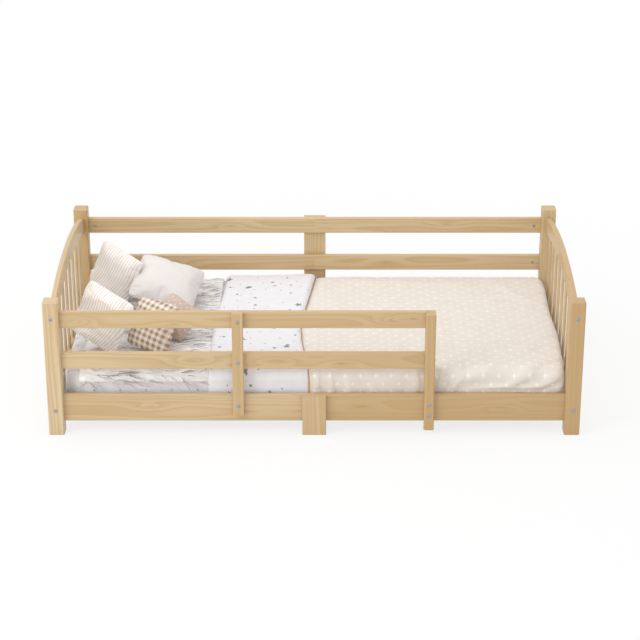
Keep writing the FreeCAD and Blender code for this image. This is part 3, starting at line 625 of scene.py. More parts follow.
def star_field(n, flat, spacing, radius, share, shift):
    """Five-pointed stars strewn on the cloth, each turned its own way."""
    shifted = n.vector("ADD", flat, (shift, shift * 1.7, 0.0))
    cells = n.add("TexVoronoi", {"Vector": shifted, "Scale": 1 / spacing, "Randomness": 0.62},
                  voronoi_dimensions="2D")
    away = n.vector("SUBTRACT", shifted, cells.outputs["Position"])
    lot = n.parts(cells.outputs["Color"])
    part = n.parts(away)
    angle = n.plus(n.calc("ARCTAN2", part[1], part[0]), n.times(lot[0], TAU))
    size = n.times(n.range(lot[1], 0.0, 1.0, 0.8, 1.1), radius)
    shape = star_shape(n, n.calc("DIVIDE", n.length(away), size), angle, 0.04)
    return n.times(shape, n.calc("LESS_THAN", lot[2], share))


def stars(n, flat):
    printed = 0.0
    for field in STAR_FIELDS:
        printed = n.calc("MAXIMUM", printed, star_field(n, flat, *field))
    return n.mix(n.times(printed, 0.93), QUILT_WHITE, STAR_GREY)


SHEET_WHITE = srgb(234, 233, 236)
SHEET_MARK = srgb(150, 150, 160)
SHEET_STEP_U, SHEET_STEP_V, SHEET_STAR = 98 * MM, 50 * MM, 7.5 * MM


def small_stars(n, flat):
    u, v = staggered(n, flat, SHEET_STEP_U, SHEET_STEP_V)
    reach = n.calc("DIVIDE", n.calc("SQRT", n.squares(u, v)), SHEET_STAR)
    shape = star_shape(n, reach, n.calc("ARCTAN2", v, u), 0.06)
    return n.mix(n.times(shape, 0.75), SHEET_WHITE, SHEET_MARK)


STRIPE_WHITE = srgb(252, 250, 248)
STRIPE_BROWN = srgb(218, 198, 185)
STRIPE_STEP, STRIPE_WIDTH = 11.5 * MM, 3.2 * MM


def stripes(n, flat):
    u, _ = cell(n, n.parts(flat)[0], STRIPE_STEP)
    line = inside(n, n.calc("ABSOLUTE", u), STRIPE_WIDTH / 2)
    return n.mix(n.times(line, 0.8), STRIPE_WHITE, STRIPE_BROWN)


GINGHAM_WHITE = srgb(240, 237, 233)
GINGHAM_MIX = srgb(218, 203, 188)
GINGHAM_BROWN = srgb(162, 134, 104)
GINGHAM_STEP = 23 * MM
GINGHAM_TURN = math.radians(9)


def gingham(n, flat):
    askew = n.add("VectorRotate", {"Vector": flat, "Angle": GINGHAM_TURN},
                  rotation_type="Z_AXIS").outputs[0]
    part = n.parts(askew)
    off = (n.calc("ABSOLUTE", cell(n, part[axis], GINGHAM_STEP)[0]) for axis in (0, 1))
    warp, weft = (inside(n, value, GINGHAM_STEP / 4) for value in off)
    half = n.mix(n.calc("MAXIMUM", warp, weft), GINGHAM_WHITE, GINGHAM_MIX)
    return n.mix(n.times(warp, weft), half, GINGHAM_BROWN)


DOT_GROUND = srgb(208, 188, 175)
DOT_WHITE = srgb(248, 244, 240)
DOT_STEP_U, DOT_STEP_V, DOT_RADIUS = 30 * MM, 15 * MM, 2.3 * MM


def dots(n, flat):
    u, v = staggered(n, flat, DOT_STEP_U, DOT_STEP_V)
    return n.mix(inside(n, n.calc("SQRT", n.squares(u, v)), DOT_RADIUS), DOT_GROUND, DOT_WHITE)


CUSHION_WHITE = srgb(230, 225, 222)


def unprinted(n, flat):
    return CUSHION_WHITE


# ---------------------------------------- mattress
MATTRESS_CORNER, MATTRESS_EDGE = 70 * MM, 26 * MM  # radii seen from above and from the side
EDGE_STEPS, CORNER_STEPS, WALL_STEPS = 6, 8, 5
INSETS = (0.03, 0.09, 0.16, 0.24, 0.33, 0.42)  # where rings lie inside the rounded edge
SIDE_STEP = 0.03
PUCKER_REACH = 0.14  # how far from the corners the sheet still puckers


def rounded_outline(half_x, half_y, corner):
    """Corner centres and places on the sides between them, each with its outward direction."""
    signs = ((1, 1), (-1, 1), (-1, -1), (1, -1))
    centres = [(sx * (half_x - corner), sy * (half_y - corner)) for sx, sy in signs]
    outline = []
    for index, here in enumerate(centres):
        for i in range(CORNER_STEPS + 1):
            angle = math.pi / 2 * (index + i / CORNER_STEPS)
            outline.append((*here, math.cos(angle), math.sin(angle)))
        ahead = centres[(index + 1) % 4]
        turn = math.pi / 2 * (index + 1)
        count = int(math.dist(here, ahead) / SIDE_STEP)
        for i in range(1, count):
            outline.append((*blend(here, ahead, i / count), math.cos(turn), math.sin(turn)))
    return outline


def rounded_block(low, high, corner, edge):
    """A block with round corners and edges, ring by ring from the middle of its base."""
    turns = [math.pi / 2 * i / EDGE_STEPS for i in range(EDGE_STEPS + 1)]
    insets = [-edge - d for d in INSETS]
    wall = high.z - low.z - 2 * edge
    rings = [(inset, low.z) for inset in insets[::-1]]
    rings += [(edge * math.sin(a) - edge, low.z + edge - edge * math.cos(a)) for a in turns]
    rings += [(0.0, low.z + edge + wall * i / WALL_STEPS) for i in range(1, WALL_STEPS)]
    rings += [(edge * math.cos(a) - edge, high.z - edge + edge * math.sin(a)) for a in turns]
    rings += [(inset, high.z) for inset in insets]
    outline = rounded_outline((high.x - low.x) / 2, (high.y - low.y) / 2, corner)
    centre = (low + high) / 2
    vertices = []
    for inset, level in rings:
        room = corner + inset
        for x, y, out_x, out_y in outline:
            if room >= 0:
                x, y = x + out_x * room, y + out_y * room
            else:
                x -= math.copysign(min(abs(x), -room), x)
                y -= math.copysign(min(abs(y), -room), y)
            vertices.append(Vector((centre.x + x, centre.y + y, level)))
    return vertices, closed_faces(len(rings), len(outline))


def add_flat_map(obj, places):
    """Store each vertex's place on the flat cloth, in metres."""
    layer = obj.data.uv_layers.new(name="flat")
    for loop in obj.data.loops:
        layer.data[loop.index].uv = places[loop.vertex_index]


def make_mattress():
    """The mattress in its fitted sheet, with soft puckers at the corners."""
    low, high = BOXES["mattress"]
    vertices, faces = rounded_block(low, high, MATTRESS_CORNER, MATTRESS_EDGE)
    flat = []
    for v in vertices:
        share = (v.z - low.z) / (high.z - low.z)
        side_x = smooth_step(abs(v.x), high.x - PUCKER_REACH, high.x)
        side_y = smooth_step(abs(v.y), high.y - PUCKER_REACH, high.y)
        pucker = side_x * side_y * math.sin(v.x * 210 + v.y * 170) * 1.6 * MM * share
        out = Vector((v.x / high.x, v.y / high.y, 0)) * pucker
        v += out - Vector((0, 0, abs(pucker) * 0.4))
        reach = high.z - v.z
        flat.append((v.x, v.y + (reach if v.y >= 0 else -reach)))
    obj = new_mesh("mattress_in_sheet", vertices, faces,
                   cloth("fitted_sheet_cotton", small_stars, srgb(206, 206, 214)))
    add_flat_map(obj, flat)
    stand_for(obj, "mattress")


# ---------------------------------------- covers
LIFT = 0.6 * MM  # room between a cover and the mattress
PATH_BEND = 27 * MM  # radius of a cover's way over the mattress's front edge


class Path:
    """The line that a cover follows, from its back edge over the mattress and down its front."""

    def __init__(self, node, drop=None):
        low, high = BOXES[node]
        self.top = BOXES["mattress"][1].z
        self.front = BOXES["mattress"][0].y
        self.back = high.y
        self.along_top = self.back - (self.front + PATH_BEND)
        self.along_bend = PATH_BEND * math.pi / 2
        along_drop = drop or (self.top - PATH_BEND) - low.z
        self.length = self.along_top + self.along_bend + along_drop

    def at(self, travelled):
        """Place across the bed and direction outwards, after so much of the path."""
        if travelled <= self.along_top:
            return Vector((0, self.back - travelled, self.top)), Vector((0, 0, 1))
        if travelled <= self.along_top + self.along_bend:
            angle = (travelled - self.along_top) / PATH_BEND
            out = Vector((0, -math.sin(angle), math.cos(angle)))
            pivot = Vector((0, self.front + PATH_BEND, self.top - PATH_BEND))
            return pivot + out * PATH_BEND, out
        fallen = travelled - self.along_top - self.along_bend
        return Vector((0, self.front, self.top - PATH_BEND - fallen)), Vector((0, -1, 0))

    def hanging(self, travelled):
        """Zero on top of the mattress and one where the cover hangs before it."""
        return smooth_step(travelled - self.along_top, -0.02, self.along_bend + 0.02)


def make_cover(name, node, material, edges, height_of, grid, thick, drop=None):
    """A cover over the mattress as a closed cloth: an upper side, an under side and its rim.

    edges give the left and the right X by the share of the path; height_of gives how far the
    upper side stands off the path; grid counts columns and rows.
    """
    path = Path(node, drop)
    left_edge, right_edge = edges
    columns, rows = grid
    upper, under, flat = [], [], []
    for row in range(rows):
        travelled = path.length * row / (rows - 1)
        point, out = path.at(travelled)
        x_left, x_right = (edge(travelled / path.length) for edge in edges)
        for column in range(columns):
            share = column / (columns - 1)
            x = x_left + (x_right - x_left) * share
            height = height_of(x, share, travelled, path)
            place = Vector((x, point.y, point.z))
            upper.append(place + out * (LIFT + height))
            under.append(place + out * (LIFT + max(0, height - thick)))
            flat.append((x, travelled))
    count, last = len(upper), (rows - 1) * columns
    faces = [f[::-1] for f in grid_faces(columns, rows)] + grid_faces(columns, rows, count)
    rim = [*range(columns), *range(2 * columns - 1, count, columns),
           *range(count - 2, last - 1, -1), *range(last - columns, 0, -columns)]
    for a, b in zip(rim, rim[1:] + rim[:1]):
        faces.append((a, b, count + b, count + a))
    obj = new_mesh(name, upper + under, faces, material)
    add_flat_map(obj, flat + flat)
    stand_for(obj, node)
    width = right_edge(0.5) - left_edge(0.5)
    round(path.length, 3)
    return path


def rolled(distance, roll, full):
    """How a rim curves up from nothing to its full height over a short roll."""
    if distance >= roll:
        return full
    inner = 1 - distance / roll
    return full * math.sqrt(max(0.0, 1 - inner * inner))


# ---------------------------------------- duvet
DUVET_LEFT, DUVET_RIGHT = (corner.x for corner in BOXES["duvet"])
DUVET_GRID = ((260, 220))
DUVET_THICK = 5 * MM
DUVET_FULL, DUVET_HANGING, UNDER_QUILT = 19 * MM, 6 * MM, 9 * MM  # how far it stands off
RAIL_REACHED = 0.076  # how far past the mattress's top a cover meets the side rail
DUVET_FOLDS = (  # from, to (x and distance from the back edge), width and height, in metres
    ((0.60, 1.010), (0.86, 0.900), 0.016, 0.013), ((0.70, 1.005), (0.94, 0.935), 0.014, 0.014),
    ((0.56, 0.960), (0.72, 0.880), 0.015, 0.009), ((0.50, 1.020), (0.56, 0.900), 0.014, 0.009),
    ((0.72, 0.800), (0.90, 0.640), 0.026, 0.006), ((0.83, 1.020), (0.945, 0.985), 0.011, 0.010),
    ((0.48, 0.850), (0.60, 0.760), 0.024, 0.006), ((0.30, 0.620), (0.62, 0.520), 0.045, 0.004),
    ((0.78, 0.120), (0.90, 0.300), 0.030, 0.006), ((0.10, 0.035), (0.34, 0.075), 0.026, 0.004),
    ((-0.01, 1.060), (0.01, 0.940), 0.011, 0.008), ((0.05, 1.060), (0.06, 0.950), 0.012, 0.008),
    ((0.11, 1.060), (0.13, 0.960), 0.012, 0.005), ((0.20, 1.060), (0.22, 0.965), 0.014, 0.004),
)


def ridge(x, y, start, end, width, height):
    """A fold between two places, highest in the middle of its length."""
    (x0, y0), (x1, y1) = start, end
    length = math.hypot(x1 - x0, y1 - y0)
    ux, uy = (x1 - x0) / length, (y1 - y0) / length
    along = ((x - x0) * ux + (y - y0) * uy) / length
    if not -0.3 < along < 1.3:
        return 0.0
    across = (x - x0) * -uy + (y - y0) * ux
    bow = 0.10 * length * math.sin(math.pi * along)
    fade = smooth_step(along, -0.3, 0.35) * (1 - smooth_step(along, 0.65, 1.3))
    return height * fade * math.exp(-((across - bow) / width) ** 2)


def hanging_room(x, travelled, path):
    """Room before a cover that hangs: a finger over the side rail, little beside its upright."""
    fallen = travelled - path.along_top
    over_rail = 1 - smooth_step(fallen, RAIL_REACHED - 0.012, RAIL_REACHED)
    room = 10 * MM + 9 * MM * over_rail
    low, high = BOXES["guard_end_post"]
    beside_upright = max(low.x - x, x - high.x, 0.0)
    near = path.front - high.y - 1.2 * MM
    room = near + (room - near) * smooth_step(beside_upright, 0.004, 0.045)
    return room + 60 * MM * (1 - smooth_step(fallen, -0.012, 0.012))


def duvet_height(x, share, travelled, path):
    full = DUVET_FULL + 4 * MM * bend(x, travelled, 2.0, 0.30)
    full += 2 * MM * bend(x, travelled, 9.0, 0.11)
    folds = sum(ridge(x, travelled, *fold) for fold in DUVET_FOLDS)
    hanging = path.hanging(travelled)
    ripple = 1.2 * MM * math.sin(x * 55 + 4 * bend(x, 0.4, 5.0, 0.2)) * hanging
    full = full * (1 - hanging) + DUVET_HANGING * hanging + folds + ripple
    pressed = 1 - smooth_step(x, quilt_right(travelled / path.length) - 0.02, 0.05)
    full += (UNDER_QUILT - DUVET_FULL) * pressed * (1 - hanging)
    full = min(full, hanging_room(x, travelled, path))
    full = rolled((1 - share) * (DUVET_RIGHT - DUVET_LEFT), 0.030, full)
    return rolled(travelled, 0.026, full)


def duvet_left(share):
    """The duvet reaches under the quilt, but not where both hang."""
    return DUVET_LEFT - 0.055 * (1 - smooth_step(share, 0.84, 0.93))


def duvet_right(share):
    on_top = 1 - smooth_step(share, 0.80, 0.86)
    wave = 0.010 + 0.003 * math.sin(share * 14)
    return DUVET_RIGHT + wave * on_top * smooth_step(share, 0, 0.05)


def make_duvet():
    material = cloth("duvet_cotton_crosses", crosses, srgb(214, 196, 172), sheen=0.2)
    make_cover("duvet_cover", "duvet", material, (duvet_left, duvet_right),
               duvet_height, DUVET_GRID, DUVET_THICK)


# ---------------------------------------- quilt
QUILT_EDGE = (  # share of the path from the back, X of the right edge
    (0.0, 0.004), (0.37, -0.041), (0.53, -0.055), (0.66, -0.050), (0.74, -0.042),
    (0.86, -0.028), (0.92, -0.022), (1.0, -0.022),
)
QUILT_GRID = ((120, 220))
QUILT_THICK, QUILT_FULL = 8 * MM, 27 * MM
# the cord's gold, and the painted shade along its twist
CORD_LIGHT, CORD_PAINTED_SHADE = srgb(206, 164, 108), srgb(158, 112, 62)
CORD_RADIUS, CORD_SIDES, CORD_STEPS = 2.6 * MM, 10, 160


def quilt_right(share):
    for (s0, x0), (s1, x1) in zip(QUILT_EDGE, QUILT_EDGE[1:]):
        if share <= s1:
            return x0 + (x1 - x0) * (share - s0) / (s1 - s0)
    return QUILT_EDGE[-1][1]


def quilt_left(share):
    return BOXES["star_quilt"][0].x + 0.030 * (1 - smooth_step(share, 0.0, 0.6)) - 0.006


def quilt_height(x, share, travelled, path):
    full = QUILT_FULL + 3 * MM * bend(x, travelled, 14.0, 0.22)
    full += MM * bend(x, travelled, 21.0, 0.07)
    full += 7 * MM * smooth_step(x, -0.25, 0.0) * (1 - smooth_step(travelled, 0.05, 0.45))
    hanging = path.hanging(travelled)
    full = full * (1 - hanging) + (6.5 * MM + 1.5 * MM * math.sin(x * 30 + 1.0)) * hanging
    along = travelled / path.length
    on_duvet = (UNDER_QUILT + 4 * MM) * (1 - hanging) + 4 * MM * hanging
    right_rim = on_duvet + rolled(quilt_right(along) - x + 0.001, 0.022, full - on_duvet)
    left_rim = rolled(x - quilt_left(along) + 0.001, 0.020, full)
    return rolled(travelled, 0.024, min(right_rim, left_rim))


def make_quilt():
    material = cloth("quilt_cotton_stars", stars, srgb(214, 214, 222))
    path = make_cover("folded_star_quilt", "star_quilt", material,
                      (quilt_left, quilt_right), quilt_height, QUILT_GRID, QUILT_THICK)
    make_piping(path)


def make_piping(path):
    """The corded edge along the quilt's right side."""
    points = []
    for i in range(CORD_STEPS + 1):
        travelled = path.length * (0.012 + 0.985 * i / CORD_STEPS)
        point, out = path.at(travelled)
        hanging = path.hanging(travelled)
        lift = LIFT + rolled(travelled, 0.02, UNDER_QUILT + 3.5 * MM) * (1 - hanging)
        lift += 5 * MM * hanging
        x = quilt_right(travelled / path.length) + 1.8 * MM
        points.append(Vector((x, point.y, point.z)) + out * lift)
    vertices, faces = tube(points, CORD_RADIUS, CORD_SIDES)
    n = Nodes("gold_cord")
    spot = n.parts(n.place())
    lay = n.calc("SINE", n.times(n.plus(spot[1], n.times(spot[0], 1.6)), 1300.0))
    # darker along the twist of the cord: painted shade
    colour = n.mix(n.range(lay, -1.0, 1.0), CORD_LIGHT, CORD_PAINTED_SHADE)
    material = n.finish(colour, 0.6, n.bump(lay, 0.5, 0.6 * MM), Sheen_Weight=0.2)
    obj = new_mesh("quilt_edge_cord", vertices, faces, material)
    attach(obj, "root")


def tube(points, radius, sides):
    """A round tube through points, with closed ends."""
    vertices = []
    for i, point in enumerate(points):
        ahead = points[min(i + 1, len(points) - 1)] - points[max(i - 1, 0)]
        vertices += turned([(radius, 0)], sides, ahead.normalized(), point, "X")
    return vertices, closed_faces(len(points), sides)


# ---------------------------------------- long-pile throw
THROW_LEFT, THROW_RIGHT = BOXES["fur_throw"][0].x - 30 * MM, BOXES["fur_throw"][1].x
THROW_DROP = 0.010  # how far it hangs below the mattress's rounded edge
BACKING_GRID, BACKING_THICK = (60, 100), 4 * MM
BACKING_WHITE, BACKING_SHADE = srgb(249, 248, 248), srgb(232, 226, 224)
PILE_WHITE, PILE_GREY, PILE_BROWN = srgb(250, 249, 249), srgb(240, 236, 235), srgb(134, 114, 106)
LOCKS = 9000
DARK_LOCKS = LOCKS // 4
DARK_FROM = 0.76  # locks of a higher tone are dark
LOCK_STEPS, LOCK_WIDE = 5, 1.1
PILE_FRONT, PILE_END = -0.4940, -0.9600  # the side rail's back and the boards at the pillow end


def throw_height(x, share, travelled, path):
    full = 7 * MM + 2 * MM * bend(x, travelled, 31.0, 0.12)
    hanging = path.hanging(travelled)
    full = full * (1 - hanging) + 2.4 * MM * hanging
    ending = path.length - travelled
    return rolled(min(travelled, x - THROW_LEFT + 0.003, ending) + 0.001, 0.010, full)


def pile_material():
    """Light locks among darker ones; the flat map holds each lock's tone and place along it."""
    n = Nodes("long_soft_pile")
    lock = n.parts(n.flat())
    dark = n.range(lock[0], DARK_FROM, DARK_FROM + 0.12)
    light = n.mix(n.range(lock[0], 0.0, DARK_FROM), PILE_WHITE, PILE_GREY)
    toned = n.mix(dark, light, PILE_BROWN)
    faded = n.mix(n.range(lock[1], 0.55, 1.0, 0.0, 0.5), toned, PILE_WHITE)
    streak = n.noise(n.place(), 900.0)
    colour = n.mix(n.range(streak, 0.4, 0.7, 0.0, 0.2), faded, PILE_GREY)
    return n.finish(colour, 0.7, Sheen_Weight=0.45, Sheen_Roughness=0.4)


def backing_material():
    n = Nodes("pile_backing")
    cloud = n.noise(n.vector("MULTIPLY", n.flat(), (9.0, 34.0, 1.0)), 1.0, 4.0, 0.6)
    colour = n.mix(n.range(cloud, 0.42, 0.68), BACKING_WHITE, BACKING_SHADE)
    return n.finish(colour, 0.9, n.bump(cloud, 0.6, 2 * MM))


def in_drift(x, travelled, lot):
    """Dark locks come in drifts, longer along the bed than across it."""
    drift = noise.noise(Vector((x * 7, travelled * 19, 3.0)))
    finer = noise.noise(Vector((x * 24, travelled * 70, 9.0)))
    return 0.44 + 0.40 * drift + 0.25 * finer + lot.uniform(-0.30, 0.30) >= 0.50


def make_throw():
    path = make_cover("fur_throw_backing", "fur_throw", backing_material(),
                      (lambda share: THROW_LEFT, lambda share: THROW_RIGHT + 0.012),
                      throw_height, BACKING_GRID, BACKING_THICK, drop=THROW_DROP)
    lot = random.Random(11)
    locks, flat, lock_faces = Shape(), [], closed_faces(LOCK_STEPS + 1, 3)
    for number in range(LOCKS):
        travelled = path.length * (0.008 + 0.990 * lot.random() ** 0.90)
        x = THROW_LEFT + (THROW_RIGHT - 0.018 - THROW_LEFT) * lot.random()
        dark = number < DARK_LOCKS
        if dark and not in_drift(x, travelled, lot):
            continue
        point, out = path.at(travelled)
        height = throw_height(x, 0.5, travelled, path)
        root = Vector((x, point.y, point.z)) + out * (LIFT + height * 0.8)
        ahead, _ = path.at(travelled + 0.004)
        down = (ahead - point).normalized()
        hanging = smooth_step(travelled - path.along_top, -0.01, path.along_bend)
        swirl = 0.7 * bend(x, travelled, 40.0, 0.16) + lot.uniform(-0.30, 0.30) - 0.10 * hanging
        swirl -= hanging * lot.uniform(0.0, 0.85) * (0.75 + 0.6 * bend(x, 0.3, 50.0, 0.07))
        backwards = 0.6 - 0.6 * smooth_step(x - THROW_LEFT, 0.0, 0.06)
        along = -1 if lot.random() < backwards else 1
        lean = Vector((along, 0, 0)) * math.cos(swirl) - down * math.sin(swirl)
        length = lot.uniform(0.030, 0.070) + 0.030 * hanging * lot.random()
        stand = lot.uniform(0.01, 0.07) * (1 - 0.8 * hanging)
        tone = lot.uniform(0.0, 0.6)
        if dark:
            tone = lot.uniform(0.86, 0.999)
            stand += 0.05
        places, shares = lock_shape(root, lean, out, length, stand, tone, lot.uniform(-0.16, 0.16))
        locks.add(places, lock_faces)
        flat += [(tone, share) for share in shares]
    keep_pile_clear(locks.vertices)
    pile = new_mesh("fur_throw_pile", locks.vertices, locks.faces, pile_material())
    add_flat_map(pile, flat)
    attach(pile, "root")


def lock_shape(root, lean, out, length, stand, tone, curl):
    """One lock of pile: a thin three-sided blade that rises a little and lies over."""
    side = lean.cross(out).normalized()
    thick = LOCK_WIDE * (1.3 if tone > DARK_FROM else 1.0)
    places, shares = [], []
    for i in range(LOCK_STEPS + 1):
        share = i / LOCK_STEPS
        rise = math.sin(share * math.pi * 0.7) * stand
        place = root + lean * (length * share) + out * (length * rise)
        place += side * (curl * length * math.sin(share * math.pi))
        wide = thick * (0.62 * MM * (1 - share) ** 0.6 + 0.06 * MM)
        for k in range(3):
            angle = TAU * k / 3
            offset = side * (1.5 * wide * math.cos(angle)) + out * (0.5 * wide * math.sin(angle))
            places.append(place + offset)
            shares.append(share)
    return places, shares


def keep_pile_clear(vertices):
    """Keep the pile behind the side rail and off the boards at the pillow end."""
    for v in vertices:
        if v.y < PILE_FRONT:
            v.y = PILE_FRONT + 0.15 * (v.y - PILE_FRONT)
        v.x = max(v.x, PILE_END)


# ---------------------------------------- cushions
CUSHIONS = {
    # width, height and thickness; turn about the vertical, lean back from upright and roll, in
    # degrees; shift from the middle of its solid; how far its corners are rounded off; how deep
    # its creases are; how full it is
    "striped_side": ((0.238, 0.228, 0.088), (-29, 17, -17), (-0.012, 0, 0), 0.085, 0.9, 0.7),
    "striped_back": ((0.216, 0.204, 0.076), (-29, 12, -19), (-0.007, 0, -0.022), 0.07, 0.8, 0.6),
    "white": ((0.280, 0.266, 0.100), (29, 65, -38), (-0.002, -0.022, 0), 0.085, 0.5, 0.7),
    "gingham": ((0.188, 0.206, 0.080), (-21, 30, -6), (-0.002, 0, 0), 0.16, 0.8, 0.6),
    "dotted": ((0.154, 0.154, 0.068), (8, 42, -40), (0, 0, 0), 0.07, 0.7, 0.6),
}
CUSHION_STEPS = 56
UNFILLED = 0.93  # share of a cushion's thickness before its filling swells
DRAWN = 3.0  # how strongly the stripes are drawn to one side below a cushion's middle
SEAM_HALF = 1.2 * MM
SIM_FRAMES = 18
SIM_LIMIT = 0.16  # how far the filling may push, as a share of the thickness
SIM_SETTINGS = {
    "quality": 5, "mass": 0.3, "tension_stiffness": 12, "compression_stiffness": 12,
    "shear_stiffness": 5, "bending_stiffness": 3.0, "use_pressure": True,
    "uniform_pressure_force": 4.0, "shrink_min": -0.025, "vertex_group_mass": "seam",
}


def cushion_blank(width, height, thickness, blunt_by):
    """Both faces of a stuffed square, thin at the corners, sides drawn in."""
    columns = CUSHION_STEPS + 1
    even = [2 * i / CUSHION_STEPS - 1 for i in range(columns)]
    marks = [math.sin(m * math.pi / 2) * 0.5 + m * 0.5 for m in even]
    vertices = []
    for side in (1, -1):
        for v in marks:
            for u in marks:
                blunt = 1 - blunt_by * (u * v) ** 4
                x = u * blunt * width / 2 * (1 - 0.045 * (1 - v * v) * abs(u))
                y = v * blunt * height / 2 * (1 - 0.045 * (1 - u * u) * abs(v))
                crown = max(0.0, (1 - u ** 4) * (1 - v ** 4)) ** 0.9
                fade = max(0.0, (1 - u * u) * (1 - v * v))
                z = side * thickness / 2 * (0.40 * crown + 0.60 * fade ** 0.45)
                vertices.append(Vector((x, y, z)))
    faces = grid_faces(columns, columns)
    faces += [f[::-1] for f in grid_faces(columns, columns, columns * columns)]
    return vertices, faces


def weld(obj, distance):
    mesh = bmesh.new()
    mesh.from_mesh(obj.data)
    bmesh.ops.remove_doubles(mesh, verts=mesh.verts, dist=distance)
    bmesh.ops.recalc_face_normals(mesh, faces=mesh.faces)
    mesh.to_mesh(obj.data)
    mesh.free()


def pull_creases(obj, width, height, amount, seed):
    """Creases that run in from the seam and from the corners, and a few soft hollows."""
    for vertex in obj.data.vertices:
        p = vertex.co
        u, v = p.x / (width / 2), p.y / (height / 2)
        edge = max(abs(u), abs(v))
        along = p.y if abs(u) > abs(v) else p.x
        corner = smooth_step(min(abs(u), abs(v)), 0.35, 0.9)
        near_seam = smooth_step(edge, 0.45, 0.93) * (1 - smooth_step(edge, 0.965, 1.0))
        side = 1 if p.z >= 0 else -1
        comb = math.sin(along * 300 + 5 * noise.noise(Vector((along * 40, seed, side))))
        depth = (0.5 + corner) * comb * near_seam * 1.1 * MM * amount
        hollow = noise.noise(Vector((p.x * 16, p.y * 16, seed + side * 3))) * 3.2 * MM * amount
        hollow *= 1 - smooth_step(edge, 0.6, 1.0)
        p.z += side * depth + hollow


def simulate_filling(obj, thickness):
    """Blow the cushion up a little as cloth, with its seam held, and keep the result."""
    seam = obj.vertex_groups.new(name="seam")
    for vertex in obj.data.vertices:
        if abs(vertex.co.z) < SEAM_HALF:
            seam.add([vertex.index], 1.0, "REPLACE")
    rest = [v.co.copy() for v in obj.data.vertices]
    modifier = obj.modifiers.new("filling", "CLOTH")
    for key, value in SIM_SETTINGS.items():
        setattr(modifier.settings, key, value)
    modifier.settings.effector_weights.gravity = 0
    modifier.point_cache.frame_start = 1
    modifier.point_cache.frame_end = SIM_FRAMES
    for number in range(1, SIM_FRAMES + 1):
        bpy.context.scene.frame_set(number)
    evaluated = obj.evaluated_get(bpy.context.evaluated_depsgraph_get())
    moved = [v.co.copy() for v in evaluated.data.vertices]
    obj.modifiers.remove(modifier)
    bpy.context.scene.frame_set(1)
    limit = thickness * SIM_LIMIT
    for vertex, start, end in zip(obj.data.vertices, rest, moved):
        step = end - start
        if step.length > limit:
            step *= limit / step.length
        vertex.co = start + step


def make_cushion(title, material):
    """A stuffed cushion in the place of its solid."""
    (width, height, thickness), facing, shift, blunt, crease, fill = CUSHIONS[title]
    vertices, faces = cushion_blank(width, height, thickness * UNFILLED, blunt)
    obj = new_mesh("cushion_" + title, vertices, faces, material)
    weld(obj, 0.02 * MM)
    pull_creases(obj, width, height, crease, len(title))
    simulate_filling(obj, thickness)
    drawn = DRAWN if title.startswith("striped") else 0.0
    places = [(v.co.x + drawn * min(0.0, v.co.y - 0.02) ** 2, v.co.y) for v in obj.data.vertices]
    add_flat_map(obj, places)
    turn, lean, roll = (math.radians(angle) for angle in facing)
    upright = math.pi / 2 - lean
    stance = (Matrix.Rotation(turn, 3, "Z") @ Matrix.Rotation(upright, 3, "X")
              @ Matrix.Rotation(roll, 3, "Z"))
    obj.data.transform(stance.to_4x4())
    low, high = BOXES["pillow_" + title]
    own_low, own_high = extremes([v.co for v in obj.data.vertices])
    move = (low + high - own_low - own_high) / 2
    move.z += max(0.0, low.z - own_low.z - move.z)
    obj.data.transform(Matrix.Translation(move + Vector(shift)))
    modifier = obj.modifiers.new("smooth", "SUBSURF")
    modifier.levels = modifier.render_levels = 1
    stand_for(obj, "pillow_" + title)


CUSHION_CLOTHS = (  # its name, its print, its shade, its slot and the cushions made of it
    ("cushion_stripes", stripes, srgb(205, 196, 192), "striped_cotton",
     ("striped_side", "striped_back")),
    ("cushion_white", unprinted, srgb(212, 205, 203), "white_cotton", ("white",)),
    ("cushion_gingham", gingham, srgb(180, 160, 140), "gingham_cotton", ("gingham",)),
    ("cushion_dots", dots, srgb(180, 156, 138), "dotted_cotton", ("dotted",)),
)


def make_cushions():
    for name, colour_of, shade, slot_name, titles in CUSHION_CLOTHS:
        material = cloth(name, colour_of, shade)
        for title in titles:
            make_cushion(title, material)


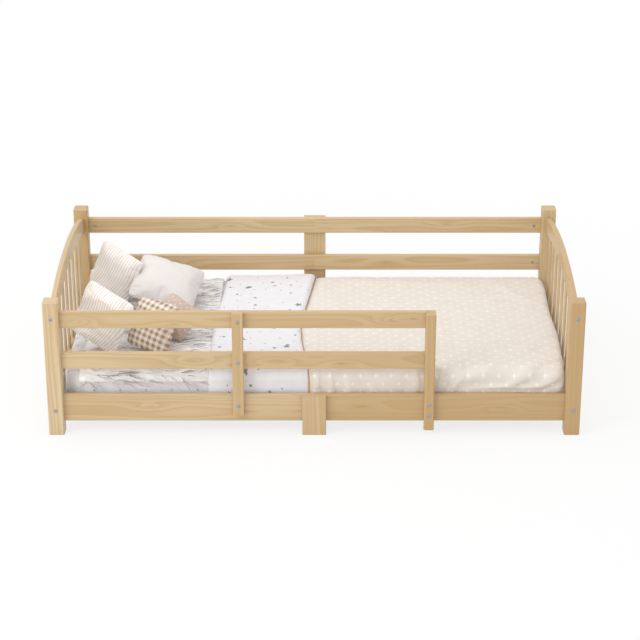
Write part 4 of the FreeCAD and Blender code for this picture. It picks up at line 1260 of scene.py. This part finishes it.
# ---------------------------------------- floor and world
FLOOR_HALF = 30
FLOOR_SINK = 0.2 * MM  # so that the floor and the undersides of the posts don't share a plane


def make_stage():
    corners = [(x * FLOOR_HALF, y * FLOOR_HALF, 0) for x, y in ((-1, -1), (1, -1), (1, 1), (-1, 1))]
    floor = new_mesh("floor", corners, [(0, 1, 2, 3)], floor_material(), smooth=False)
    floor.location.z = -FLOOR_SINK


def seen_directly(n):
    """One for rays from the camera and for those that mirrors and glass send on."""
    rays = n.add("LightPath").outputs
    either = n.calc("MAXIMUM", rays["Is Camera Ray"], rays["Is Glossy Ray"])
    return n.calc("MAXIMUM", either, rays["Is Transmission Ray"])


def floor_material():
    """A white floor that fades into the white around it."""
    n = Nodes("floor_white")
    n.finish((0.86, 0.86, 0.86, 1), 0.9, Specular_IOR_Level=0.0)
    glow = n.add("Emission", {"Color": (1, 1, 1, 1), "Strength": 1.0})
    glowing = n.range(n.length(n.place()), FLOOR_NEAR, FLOOR_FAR, FLOOR_GLOW_NEAR, FLOOR_GLOW_FAR)
    share = n.times(seen_directly(n), glowing)
    mixed = n.add("MixShader", {0: share, 1: n.shader.outputs[0], 2: glow.outputs[0]})
    n.feed(n.tree.nodes["Material Output"].inputs["Surface"], mixed.outputs[0])
    return n.owner


def set_world():
    """Soft light from all around, seen as plain white."""
    n = Nodes("studio", bpy.data.worlds)
    bpy.context.scene.world = n.owner
    n.tree.nodes.clear()
    light = n.add("Background", {"Color": (1.0, 0.995, 0.985, 1), "Strength": WORLD_STRENGTH})
    white = n.add("Background", {"Strength": 1.0})
    mixed = n.add("MixShader", {0: seen_directly(n), 1: light.outputs[0], 2: white.outputs[0]})
    n.feed(n.add("OutputWorld").inputs["Surface"], mixed.outputs[0])


# ---------------------------------------- the whole scene
set_camera()
set_lamps()
set_world()
make_stage()
bpy.context.scene.view_settings.view_transform = "Standard"
clothe_wood()
clothe_metal()
make_mattress()
make_duvet()
make_quilt()
make_throw()
make_cushions()

bpy.context.view_layer.update()
